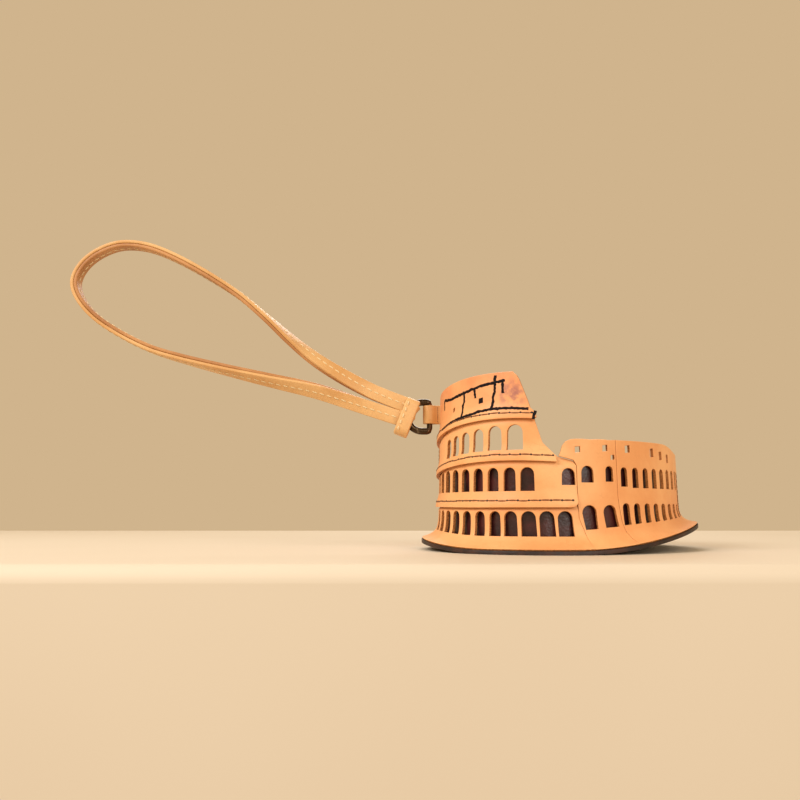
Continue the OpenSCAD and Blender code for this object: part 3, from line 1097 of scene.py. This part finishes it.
    def paint(self, strip: Strip) -> None:
        """Draws the black panel lines on the attic, and a black square of painted shade for its square
        opening.
        """
        strokes = (
            ((-21.8, 41.0), (-22.0, 43.8), (-21.4, 44.0), (-17.5, 43.6), (-13.2, 44.0), (-9.4, 44.7),
             (-5.0, 45.5), (-1.9, 46.1), (2.2, 46.6), (5.7, 47.1)),
            ((-21.6, 35.0), (-16.5, 36.3), (-10.4, 37.4), (-6.6, 37.8), (-3.4, 38.5), (1.5, 39.0),
             (6.2, 39.1), (12.5, 38.6)),
            ((-9.0, 44.6), (-8.9, 42.2), (-9.6, 41.0), (-9.7, 37.6)),
            ((-4.5, 45.4), (-4.3, 42.7)),
            ((2.7, 48.7), (2.5, 46.5), (2.5, 44.0), (1.9, 42.4), (2.0, 41.2), (1.4, 39.1)),
            ((4.9, 46.9), (5.0, 43.4)),
            ((14.35, 38.0), (13.8, 35.6)),
        )
        shape = bmesh.new()
        dice = random.Random(3)
        for stroke in strokes:
            self.add_stroke(shape, strip, stroke, dice)
        # painted shade: a black square where the attic has a square opening, for the dark inside of it
        self.add_hole_shade(shape, strip, (-2.2, 41.8), 1.55)
        inked = Dressing(Part.MONUMENT, Slot.DARK, (self.ink,))
        finish_piece("attic_panel_lines_and_hole_shade", shape, inked)

    def add_stroke(self, shape: Shape, strip: Strip, stroke: Iterable[Point], dice: random.Random) -> None:
        """Adds one uneven brush line.

        Args:
            shape: Where it is added.
            strip: The strip it is painted on.
            stroke: Its corners.
            dice: Where its unevenness comes from.
        """
        corners = [Vector(corner) for corner in stroke]
        spots = [corners[0]]
        for first, second in zip(corners, corners[1:]):
            count = max(2, round((second - first).length / 0.5))
            spots += [first.lerp(second, k / count) for k in range(1, count + 1)]
        frames = []
        for index, spot in enumerate(spots):
            run = (spots[min(index + 1, len(spots) - 1)] - spots[max(index - 1, 0)]).normalized()
            side = Vector((-run.y, run.x)) * (self.ink_width / 2 * dice.uniform(0.8, 1.2))
            shift = side * dice.uniform(-0.22, 0.22)
            left = strip.place(*(spot + side + shift), 0.0)
            right = strip.place(*(spot - side + shift), 0.0)
            frames.append(((left + right) / 2, (left - right) / 2, strip.outward(spot.x)))
        brush = [(1.0, -0.04), (0.75, 0.05), (-0.75, 0.05), (-1.0, -0.04)]
        line = sweep(frames, brush)
        append_shape(shape, line)

    def add_hole_shade(self, shape: Shape, strip: Strip, middle: Point, width: float) -> None:
        """Adds the small black square between two of the lines: painted shade that stands for the dark
        inside of a square opening in the attic.
        """
        patch = cut_panel(square(*middle, width, 0.14), [], 0.08, 0.0)
        slice_along(patch, Vector((1, 0, 0)), 0.5)
        bend(patch, lambda along, up, depth: strip.place(along, up, depth + 0.04))
        append_shape(shape, patch)


def append_shape(target: Shape, extra: Shape) -> None:
    """Adds one shape to another and frees it."""
    mesh = bpy.data.meshes.new("part_of_a_shape")
    extra.to_mesh(mesh)
    extra.free()
    target.from_mesh(mesh)
    bpy.data.meshes.remove(mesh)


# ---------------------------------------------------------------- low wall and base


@dataclass
class LowWall:
    """The low wall: the wedge beside the tower, the right side and the round back."""

    work: WallWork
    tower: Tower
    top: float = 30.2
    back_top: float = 28.0
    back_seam: float = 79.0
    arch_width: float = 2.5
    pitch: float = 4.6
    first_arch: float = 45.4
    wedge_seam: tuple = ((40.7, 2.2), (39.3, 6.9), (38.5, 12.0), (38.3, 14.4), (38.3, 18.0))
    seam_foot: float = 41.1
    seam_top: float = 38.3
    seam_gap: float = 0.06
    set_back: float = 0.08
    lower_row: Point = (6.7, 12.6)
    upper_row: Point = (16.9, 22.6)
    back_row: Point = (15.5, 21.5)
    back_head: float = 12.0
    back_arches: int = 25
    stitches_in: float = 3.6

    @property
    def foot_edge(self) -> float:
        """Height on the sheet of the brim's rim."""
        return self.work.foot.bend_height - self.work.foot.brim_run

    def build(self) -> None:
        """Makes the three panels and the stitches of the back seam."""
        self.wedge()
        right = self.right()
        self.back()
        along = self.back_seam - self.stitches_in
        lowest = self.work.foot.on_sheet(75, 9.0)
        holes = [(along, lowest + 1.6 * k) for k in range(12)]
        self.work.stitches("back_seam_stitches", right, holes)

    def wedge(self) -> None:
        """Makes the wedge between the tower's seam and the next one."""
        foot = self.work.foot
        strip = Strip(foot, set_back=self.set_back)
        low = self.foot_edge
        gap = self.seam_gap
        tower_side = [(along + gap, up) for along, up in self.tower.seam]
        outline = [
            (self.tower.seam_foot + gap, low),
            *line_of(self.tower.seam_foot + 2, self.seam_foot, lambda along: low),
            *self.wedge_seam, (self.seam_top, self.top),
            *line_of(36.3, 25.6, lambda along: self.top + 0.1 * math.sin(along)),
            (24.0, 30.1), (22.6, 29.5), (21.6, 28.3), (21.0, 26.5), (20.5, 25.45), (24.7, 24.35),
            (25.5 + gap, 22.9), *tower_side,
        ]
        holes = [
            [(27.6, 5.3), (31.3, 5.4), *arch(28.9, 4.3, 5.2, 12.0)[2:]],
            arch(35.3, 4.2, 5.6, 12.0, 0.7),
            arch(28.7, 3.6, 18.2, 22.8),
            arch(35.7, 2.5, 18.5, 22.8),
            square(26.0, 27.3, 1.6),
            square(34.6, 27.8, 1.7),
            square(37.1, 25.3, 1.3),
        ]
        self.work.panel("wedge_wall", strip, outline, holes)

    def top_at(self, along: float) -> float:
        """Height of the low wall's top, which falls towards the back."""
        fall = (self.work.foot.oval.at(along).y + 3) / 17
        return self.top - (self.top - self.back_top) * ease(fall, 0.0, 1.0)

    def right(self) -> Strip:
        """Makes the right side and returns how it lies."""
        foot = self.work.foot
        strip = Strip(foot)
        low = self.foot_edge
        gap = self.seam_gap
        near = [(along + gap, up) for along, up in self.wedge_seam]
        end = self.back_seam - gap
        outline = [
            *line_of(self.seam_foot + gap, end, lambda along: low),
            *line_of(end, self.seam_top + gap, self.top_at), *reversed(near),
        ]
        spots = [self.first_arch + self.pitch * k for k in range(7)]
        sill, head = self.lower_row
        holes = [
            arch(
                spot,
                self.arch_width,
                foot.on_sheet(spot, sill + 0.06 * (spot - 42)),
                foot.on_sheet(spot, head),
                0.2,
            )
            for spot in spots
        ]
        holes += [arch(spot, self.arch_width, *self.upper_row) for spot in spots]
        holes.append(arch(41.1, 2.5, foot.on_sheet(41, 6.6), foot.on_sheet(41, head), 0.3))
        holes.append(arch(40.9, 2.4, 17.2, 22.6))
        holes.append(square(42.7, 27.8, 2.0))
        holes += [square(54 + 5.4 * k, 27.2 - 0.6 * k, 1.9, 0.1, 1.3) for k in range(3)]
        self.work.panel("right_wall", strip, outline, holes)
        return strip

    def back(self) -> None:
        """Makes the round back, with its two even rows of arches."""
        foot = self.work.foot
        strip = Strip(foot, set_back=self.set_back)
        low = self.foot_edge
        first = self.back_seam
        last = foot.oval.length + self.tower.left - self.seam_gap
        outline = [
            *line_of(first, last, lambda along: low),
            *line_of(last, first, lambda along: self.back_top),
        ]
        steps = self.back_arches - 1
        spots = [first + 3 + (last - first - 6) * k / steps for k in range(self.back_arches)]
        sills = [foot.on_sheet(spot, max(4.8, foot.curl(foot.oval.at(spot)) + 4.2)) for spot in spots]
        heads = [foot.on_sheet(spot, self.back_head) for spot in spots]
        holes = [
            arch(spot, self.arch_width, min(sill, head - 1.6), head)
            for spot, sill, head in zip(spots, sills, heads)
        ]
        holes += [arch(spot, self.arch_width, *self.back_row) for spot in spots]
        self.work.panel("back_wall", strip, outline, holes)


@dataclass
class Base:
    """The dark sole, the floor inside and the glossy lining."""

    foot: Foot
    sole: bpy.types.Material
    floor: bpy.types.Material
    cut: bpy.types.Material
    plum: bpy.types.Material
    sole_thickness: float = 1.1
    sole_out: float = 5.2
    floor_in: float = 1.7
    lining_in: float = 1.72
    lining_thickness: float = 0.5
    lining_top: float = 25.2

    def build(self) -> None:
        """Makes the three parts."""
        self.plate("sole", self.sole_out, 0.0, self.sole_thickness, Slot.DARK, (self.sole,) * 3)
        self.plate("floor_panel", -self.floor_in, self.sole_thickness + 0.02, 1.0, Slot.NATURAL,
                   (self.floor, self.floor, self.cut))
        self.lining()

    def plate(
        self, name: str, out: float, low: float, thickness: float, slot: Slot, finishes: tuple
    ) -> None:
        """Makes an oval plate that curls up with the base.

        Args:
            name: The CAD node that it stands for.
            out: How far it reaches outside the oval.
            low: Height of its underside where it lies flat.
            thickness: Its thickness.
            slot: Its material slot.
            finishes: Its grain, flesh and cut finishes.
        """
        steps = 144
        outline = [
            (self.foot.oval.at_turn(k * self.foot.oval.steps / steps, out).x,
             self.foot.oval.at_turn(k * self.foot.oval.steps / steps, out).y)
            for k in range(steps)
        ]
        shape = cut_panel(outline, [], thickness, 0.2)
        sort_sides(shape)
        turn = math.radians(self.foot.curl_turn)
        slice_along(shape, Vector((math.cos(turn), math.sin(turn), 0)), 2.0)
        top = low + thickness

        def place(x: float, y: float, depth: float) -> Vector:
            """Lifts a point with the curl."""
            return Vector((x, y, top + depth + self.foot.curl(Vector((x, y, 0)))))

        bend(shape, place)
        finish_piece(f"{name}_plate", shape, Dressing(Part.MONUMENT, slot, finishes), name)

    def lining(self) -> None:
        """Makes the lining, a closed band just inside the wall."""
        oval = self.foot.oval
        count = 180
        frames = []
        for index in range(count):
            along = oval.length * index / count
            low = 2.6 + self.foot.curl(oval.at(along))
            ripple = 0.1 * math.sin(along * 0.9) + 0.06 * math.sin(along * 2.3)
            middle = (low + self.lining_top) / 2
            lean = self.foot.lean
            centre = oval.at(along, ripple - self.lining_in - self.lining_thickness / 2 - lean * middle)
            centre.z = middle
            outward = oval.outward(along)
            rise = (Vector((0, 0, 1)) - outward * lean) * (self.lining_top - middle)
            frames.append((centre, rise, outward))
        half = self.lining_thickness / 2
        section = [(1, -half), (1, half)]
        section += [(1 - 0.25 * k, half + 0.08 * math.sin(k * 2.1)) for k in range(1, 8)]
        section += [(-1, half), (-1, -half)]
        section += [(-1 + 0.25 * k, -half) for k in range(1, 8)]
        shape = sweep(frames, section, closed=True)
        finish_piece("lining_band", shape, Dressing(Part.MONUMENT, Slot.PLUM, (self.plum,)), "lining")


# ---------------------------------------------------------------- tab, ring and strap


@dataclass(frozen=True)
class StrapFrame:
    """The upright plane in which the tab, the ring and the strap lie: out along the strap, and up."""

    out: Vector = Vector((-0.8, -0.6, 0.0))
    front: Vector = Vector((0.6, -0.8, 0.0))
    aside: float = 8.87
    bar_out: float = 42.0
    ring_height: float = 40.1
    bow_out: float = 2.4
    rise: float = 1.2

    def at(self, out: float, aside: float, height: float) -> Vector:
        """A point out along the strap, to the front of its plane, and up."""
        return self.out * out + self.front * (self.aside + aside) + Vector((0, 0, height + self.rise))

    def direction(self, out: float, aside: float, height: float) -> Vector:
        """A direction in the same terms."""
        return self.out * out + self.front * aside + Vector((0, 0, height))


def along_path(points: list[Vector], closed: bool = False) -> list[Vector]:
    """The direction of a path at each of its points."""
    count = len(points)
    found = []
    for index in range(count):
        ahead = points[(index + 1) % count] if closed else points[min(index + 1, count - 1)]
        behind = points[(index - 1) % count] if closed else points[max(index - 1, 0)]
        found.append((ahead - behind).normalized())
    return found


@dataclass
class TabAndRing:
    """The leather tab that comes through the wall, and the metal ring on it."""

    frame: StrapFrame
    grain: bpy.types.Material
    thread: bpy.types.Material
    bronze: bpy.types.Material
    tab_width: float = 5.8
    tab_height: float = 40.7
    tab_ply: float = 1.1
    bar_radius: float = 0.9
    inner: float = 3.5
    limb: float = 1.1

    def build(self) -> None:
        """Makes the tab, its stitches and the ring."""
        self.tab()
        self.tab_stitches()
        self.ring()

    def tab(self) -> None:
        """Makes the tab: one strip folded round the ring's bar."""
        fold = self.bar_radius + 0.1 + self.tab_ply / 2
        flat = self.tab_ply / 2 + 0.04
        start = self.frame.bar_out - 2.6
        path = [(36.4, 4.6), (36.9, 3.2), (37.3, 1.6), (38.2, flat + 0.1), (start, flat)]
        opening = [(start + 0.9, flat + 0.25), (start + 1.7, fold - 0.25)]
        path += opening
        turns = [math.radians(90 - 15 * k) for k in range(13)]
        bow = [(self.frame.bar_out + fold * math.cos(turn), fold * math.sin(turn)) for turn in turns]
        path = path + bow
        path += [(out, -aside) for out, aside in reversed(opening)]
        path += [(start, -flat), (38.2, -flat - 0.1), (37.3, -1.6), (36.9, -3.2), (36.4, -4.6)]
        points = [self.frame.at(out, aside, self.tab_height) for out, aside in path]
        runs = along_path(points)
        up = Vector((0, 0, 1))
        frames = [(point, up, run.cross(up)) for point, run in zip(points, runs)]
        half = self.tab_ply / 2
        shape = sweep(frames, rounded(self.tab_width / 2, -half, half, 0.28))
        finish_piece("tab_strip", shape, Dressing(Part.MONUMENT, Slot.NATURAL, (self.grain,)), "tab")

    def tab_stitches(self) -> None:
        """Sews the tab together beside the wall, in small upright stitches."""
        shape = bmesh.new()
        for column in (0.0, 0.75):
            for index in range(7):
                height = self.tab_height - 2.2 + 0.72 * index
                spot = self.frame.at(39.5 + column, self.tab_ply + 0.07, height)
                add_bead(shape, spot, self.frame.direction(0.25, 0, 1), self.frame.front, (0.3, 0.1, 0.1))
        sewn = Dressing(Part.MONUMENT, Slot.BROWN_THREAD, (self.thread,))
        finish_piece("tab_thread", shape, sewn, "tab_stitches")

    def ring(self) -> None:
        """Makes the ring: a round bow with a straight bar."""
        middle = self.inner + self.limb
        corner = 1.1
        path = [(0.0, -2.2), (0.0, -1.1), (0.0, 0.0), (0.0, 1.1), (0.0, 2.2)]
        turns = [math.radians(180 - 15 * k) for k in range(7)]
        path += [(corner + corner * math.cos(a), middle - corner + corner * math.sin(a)) for a in turns]
        bow = [math.radians(90 - 7.5 * k) for k in range(25)]
        path += [(self.frame.bow_out + middle * math.cos(a), middle * math.sin(a)) for a in bow]
        path += [(corner - corner * math.sin(a), corner - middle - corner * math.cos(a))
                 for a in [math.radians(15 * k) for k in range(7)]]
        home = Vector((self.frame.bar_out, 0))
        points = [self.frame.at(home.x + out, 0, self.frame.ring_height + up) for out, up in path]
        runs = along_path(points, closed=True)
        frames = []
        for (out, up), point, run in zip(path, points, runs):
            thick = self.bar_radius if out < 0.3 else self.limb
            frames.append((point, self.frame.front * thick, run.cross(self.frame.front) * thick))
        section = [(math.cos(k * math.pi / 7), math.sin(k * math.pi / 7)) for k in range(14)]
        shape = sweep(frames, section, closed=True)
        finish_piece("ring_metal", shape, Dressing(Part.RING, Slot.BRONZE, (self.bronze,)), "ring")


@dataclass
class Strap:
    """The wrist strap: two plies sewn together, in a long loop, and its hitch on the ring."""

    frame: StrapFrame
    grain: bpy.types.Material
    inner_shaded_grain: bpy.types.Material
    thread: bpy.types.Material
    width: float = 4.8
    ply: float = 1.1
    stitch_pitch: float = 2.4
    steps: int = 7
    hitch_turn: float = 22.0
    folds: tuple = ((-16, 1.3), (23, 1.5))
    fold_middle: float = 4.5
    band_width: float = 4.4
    band_thickness: float = 1.2
    band_half: float = 6.2
    band_out: float = 4.3
    band_drop: float = 2.1
    band_back: float = -1.9
    band_front: float = 3.2
    route: tuple = (
        (50.4, 39.3), (57.0, 41.4), (66.0, 44.5), (78.0, 48.4), (92.0, 51.7), (106.0, 55.0), (120.0, 58.6),
        (131.0, 62.0), (141.0, 66.8), (149.5, 72.4), (155.0, 78.6), (156.8, 84.2), (154.6, 89.6),
        (149.6, 94.0), (142.5, 96.6), (134.0, 96.0), (125.0, 92.6), (114.0, 86.6), (103.0, 79.4),
        (94.0, 71.8), (86.0, 64.6),
        (78.0, 58.3), (69.0, 52.7), (61.0, 48.5), (55.0, 46.0), (49.4, 43.9),
    )
    turns: tuple = (
        0, 4, 16, 34, 55, 72, 84, 90, 90, 90, 90, 90, 90, 90, 90, 90, 90, 90, 86, 78, 62, 42, 22, 8, 0, 0,
    )

    def build(self) -> None:
        """Makes the two plies, their stitches and the hitch."""
        frames = self.frames()
        half = self.width / 2
        outer = sweep(frames, rounded(half, 0.03, self.ply, 0.3))
        inner = sweep(frames, rounded(half - 0.08, -self.ply, -0.03, 0.3))
        leather = Dressing(Part.STRAP, Slot.NATURAL, (self.grain,))
        finish_piece("strap_outer_leather", outer, leather, "strap_outer_ply")
        # painted shade: the inner ply gets the darker copy of the strap leather
        inside = Dressing(Part.STRAP, Slot.NATURAL, (self.inner_shaded_grain,))
        finish_piece("strap_inner_leather", inner, inside, "strap_inner_ply")
        self.stitches(frames)
        self.wraps()
        self.band()

    def frames(self) -> list[tuple[Vector, Vector, Vector]]:
        """The strap's centre, its width direction and its outer face's direction, all along the route."""
        route = [Vector(spot) for spot in self.route]
        last = len(route) - 1
        spots = []
        facing = []
        for index in range(last * self.steps + 1):
            leg = min(index // self.steps, last - 1)
            share = index / self.steps - leg
            spots.append(self.curve(route, leg, share))
            facing.append(self.turns[leg] + (self.turns[leg + 1] - self.turns[leg]) * share)
        points = [self.frame.at(spot.x, 0, spot.y) for spot in spots]
        found = []
        for point, run, turn in zip(points, along_path(points), facing):
            sideways = self.frame.front.cross(run)
            angle = math.radians(turn)
            outer = sideways * math.sin(angle) + self.frame.front * math.cos(angle)
            found.append((point, run.cross(outer).normalized(), outer.normalized()))
        return found

    @staticmethod
    def curve(route: list[Vector], leg: int, share: float) -> Vector:
        """A smooth curve through the route's points.

        Args:
            route: The points.
            leg: Number of the stretch.
            share: How far along it.

        Returns:
            The point.
        """
        last = len(route) - 1
        before, first = route[max(0, leg - 1)], route[leg]
        second, after = route[min(last, leg + 1)], route[min(last, leg + 2)]
        straight = 2 * first + (second - before) * share
        squared = (2 * before - 5 * first + 4 * second - after) * share**2
        cubed = (3 * first - before - 3 * second + after) * share**3
        return (straight + squared + cubed) / 2

    def stitches(self, frames: list[tuple[Vector, Vector, Vector]]) -> None:
        """Sews the plies together: one row down the middle, seen on both faces."""
        outer, inner = bmesh.new(), bmesh.new()
        centres = [frame[0] for frame in frames]
        runs = along_path(centres)
        travelled, next_stitch = 0.0, 3.0
        for index in range(1, len(frames)):
            leg = centres[index] - centres[index - 1]
            while next_stitch <= travelled + leg.length:
                share = (next_stitch - travelled) / leg.length
                spot = centres[index - 1].lerp(centres[index], share)
                out = frames[index - 1][2].lerp(frames[index][2], share).normalized()
                across = frames[index][1] * 0.12
                size = (self.stitch_pitch * 0.36, 0.22, 0.16)
                add_bead(outer, spot + out * (self.ply + 0.05), runs[index] + across, out, size)
                add_bead(inner, spot - out * (self.ply + 0.05), runs[index] - across, out, size)
                next_stitch += self.stitch_pitch
            travelled += leg.length
        sewn = Dressing(Part.STRAP, Slot.PALE_THREAD, (self.thread,))
        finish_piece("strap_outer_thread", outer, sewn, "strap_stitches")
        finish_piece("strap_inner_thread", inner, sewn)
        LOG.info("strap: %.0f mm along its route", travelled)

    def hitch_at(self, out: float, aside: float, up: float) -> Vector:
        """A point in the hitch's frame: out along it from the bow's centre, aside, and up across it."""
        turn = math.radians(self.hitch_turn)
        home = self.frame.bar_out + self.frame.bow_out
        along = out * math.cos(turn) - up * math.sin(turn)
        height = out * math.sin(turn) + up * math.cos(turn)
        return self.frame.at(home + along, aside, self.frame.ring_height + height)

    def wraps(self) -> None:
        """Makes the two folds of the bight, which go round the ring's bow."""
        shape = bmesh.new()
        for turn, half in self.folds:
            angle = math.radians(turn)
            radial = Vector((math.cos(angle), math.sin(angle)))
            centre = self.fold_middle * radial
            out_dir = self.hitch_at(radial.x, 0, radial.y) - self.hitch_at(0, 0, 0)
            width_dir = self.hitch_at(-radial.y, 0, radial.x) - self.hitch_at(0, 0, 0)
            loop = rounded(2.05, -1.95, 1.95, 1.55, 6)
            home = self.hitch_at(centre.x, 0, centre.y)
            points = [home + out_dir * (a + 0.15) + self.frame.front * b for a, b in loop]
            runs = along_path(points, closed=True)
            frames = [(point, width_dir, width_dir.cross(run)) for point, run in zip(points, runs)]
            append_shape(shape, sweep(frames, rounded(half, -0.5, 0.5, 0.3), closed=True))
        folded = Dressing(Part.STRAP, Slot.NATURAL, (self.grain,))
        finish_piece("hitch_folds", shape, folded, "hitch_wrap")

    def band(self) -> None:
        """Makes the band that crosses both arms of the strap, with its stitches."""
        thick = self.band_thickness
        loop = rounded(self.band_half - thick / 2, self.band_back, self.band_front, 1.7, 6)
        points = [self.hitch_at(self.band_out, b, a - self.band_drop) for a, b in loop]
        along = (self.hitch_at(1, 0, 0) - self.hitch_at(0, 0, 0)).normalized()
        runs = along_path(points, closed=True)
        frames = [(point, along, along.cross(run)) for point, run in zip(points, runs)]
        shape = sweep(frames, rounded(self.band_width / 2, -thick / 2, thick / 2, 0.45), closed=True)
        leather = Dressing(Part.STRAP, Slot.NATURAL, (self.grain,))
        finish_piece("hitch_band_leather", shape, leather, "hitch_band")
        shape = bmesh.new()
        across = (self.hitch_at(0, 0, 1) - self.hitch_at(0, 0, 0)).normalized()
        for index in range(5):
            spot = self.hitch_at(self.band_out + 1.2, self.band_front + thick / 2 + 0.05, -6.4 + 2.1 * index)
            add_bead(shape, spot, across + along * 0.2, self.frame.front, (0.72, 0.28, 0.2))
        sewn = Dressing(Part.STRAP, Slot.PALE_THREAD, (self.thread,))
        finish_piece("hitch_thread", shape, sewn, "hitch_stitches")


# ---------------------------------------------------------------- studio


@dataclass
class Studio:
    """The shelf, the light and the camera."""

    place: Vector = Vector((0.1161, -0.2395, 0.0113))
    forward: Vector = Vector((-0.596, 0.791, 0.139))
    lens: float = 36.0
    near_edge: float = 0.177
    far_edge: float = 0.502
    shelf_width: float = 2.4
    shelf_height: float = 0.4
    edge_radius: float = 0.004

    def build(self) -> None:
        """Sets up everything round the object."""
        self.shelf()
        self.light("key", (-0.16, -0.52, 0.42), 0.34, 2.8, (1.0, 0.96, 0.93))
        self.light("fill", (0.55, -0.35, 0.25), 0.4, 1.7, (1.0, 0.97, 0.94))
        self.light("rim", (-0.3, 0.5, 0.5), 0.4, 1.9, (1.0, 0.97, 0.93))
        self.backdrop()
        self.camera()
        bpy.context.scene.view_settings.view_transform = "Standard"

    def shelf(self) -> None:
        """Makes the pale shelf, its front edge square to the camera."""
        ahead = Vector((self.forward.x, self.forward.y, 0)).normalized()
        aside = Vector((ahead.y, -ahead.x, 0))
        shape = bmesh.new()
        bmesh.ops.create_cube(shape, size=1)
        bmesh.ops.scale(
            shape,
            vec=(self.shelf_width, self.far_edge - self.near_edge, self.shelf_height),
            verts=shape.verts[:],
        )
        middle = (self.near_edge + self.far_edge) / 2
        bmesh.ops.translate(shape, vec=(0, middle, -self.shelf_height / 2), verts=shape.verts[:])
        front = [
            edge for edge in shape.edges
            if all(vert.co.z > -1e-6 and vert.co.y < middle for vert in edge.verts)
        ]
        bmesh.ops.bevel(
            shape, geom=front, offset=self.edge_radius, affect="EDGES", segments=6, profile=0.5, material=-1
        )
        for vert in shape.verts:
            flat = aside * vert.co.x + ahead * vert.co.y
            vert.co = Vector((self.place.x + flat.x, self.place.y + flat.y, vert.co.z))
        for face in shape.faces:
            face.smooth = face.calc_area() < 0.02
        bmesh.ops.recalc_face_normals(shape, faces=shape.faces[:])
        mesh = bpy.data.meshes.new("shelf")
        shape.to_mesh(mesh)
        shape.free()
        mesh.materials.append(StudioPaint("shelf_paint", srgb(222, 211, 192), srgb(218, 206, 186)).make())
        shelf = bpy.data.objects.new("shelf", mesh)
        bpy.context.scene.collection.objects.link(shelf)

    def light(self, name: str, place: tuple, size: float, power: float, colour: tuple) -> None:
        """Adds a soft square light that shines at the charm.

        Args:
            name: Its name.
            place: Where it stands.
            size: Its side.
            power: Its power in watts.
            colour: Its colour.
        """
        lamp = bpy.data.lights.new(name, "AREA")
        lamp.size = size
        lamp.energy = power
        lamp.color = colour
        holder = bpy.data.objects.new(name, lamp)
        bpy.context.scene.collection.objects.link(holder)
        holder.location = place
        target = Vector((0.0, -0.02, 0.03))
        holder.rotation_euler = (target - Vector(place)).to_track_quat("-Z", "Y").to_euler()

    def backdrop(self) -> None:
        """Sets the plain warm background, which also lights the set softly."""
        world = bpy.data.worlds.new("backdrop")
        world.use_nodes = True
        shade = world.node_tree.nodes["Background"]
        shade.inputs["Color"].default_value = srgb(208, 180, 141)
        shade.inputs["Strength"].default_value = 1.0
        bpy.context.scene.world = world

    def camera(self) -> None:
        """Adds the camera."""
        data = bpy.data.cameras.new("camera")
        data.lens = self.lens
        data.sensor_width = 36.0
        data.clip_start = 0.01
        holder = bpy.data.objects.new("camera", data)
        bpy.context.scene.collection.objects.link(holder)
        holder.location = self.place
        holder.rotation_euler = self.forward.to_track_quat("-Z", "Y").to_euler()
        bpy.context.scene.camera = holder


def main() -> None:
    """Builds the charm, piece by piece, and the studio round it."""
    logging.basicConfig(level=logging.INFO, format="%(message)s")
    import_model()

    oval = Oval()
    foot = Foot(oval)
    stain = foot.place(7.6, 43.0, 0.0) * MM
    grain = NaturalLeather("natural_leather", stain=stain).make()
    strap_leather = NaturalLeather(
        "strap_leather", pale=srgb(224, 180, 122), deep=srgb(200, 146, 84), blush_from=1.0, roughness=0.42
    ).make()
    # painted shade: a darker copy of the strap leather for the inner ply, for the shade on the loop's inner
    # face
    strap_shaded_leather = NaturalLeather(
        "strap_leather_shaded", pale=srgb(200, 146, 92), deep=srgb(160, 104, 56), blush_from=1.0
    ).make()
    flesh = FleshSide("leather_back").make()
    cut = CutEdge("leather_cut_edge").make()
    brown = WaxedThread("brown_thread", srgb(150, 92, 44), srgb(82, 44, 20)).make()
    cream = WaxedThread("cream_thread", srgb(246, 228, 186), srgb(206, 178, 128)).make()
    # painted shade: dark colours for the shade inside the needle holes
    hole_shade = SoleLeather("needle_hole_shade", srgb(58, 28, 14), srgb(30, 14, 8)).make()
    bronze = AntiqueBronze("antique_bronze").make()

    work = WallWork(foot, grain, flesh, cut, brown, hole_shade)
    # the black ink also paints the shade of the attic's square opening
    tower = Tower(work, BrushedInk("black_ink_and_hole_shade").make())
    tower.build()
    LowWall(work, tower).build()
    Base(foot, SoleLeather("sole_leather").make(), flesh, cut, PlumLining("plum_lining").make()).build()
    frame = StrapFrame()
    TabAndRing(frame, strap_leather, brown, bronze).build()
    Strap(frame, strap_leather, strap_shaded_leather, cream).build()
    Studio().build()


if __name__ == "__main__":
    main()
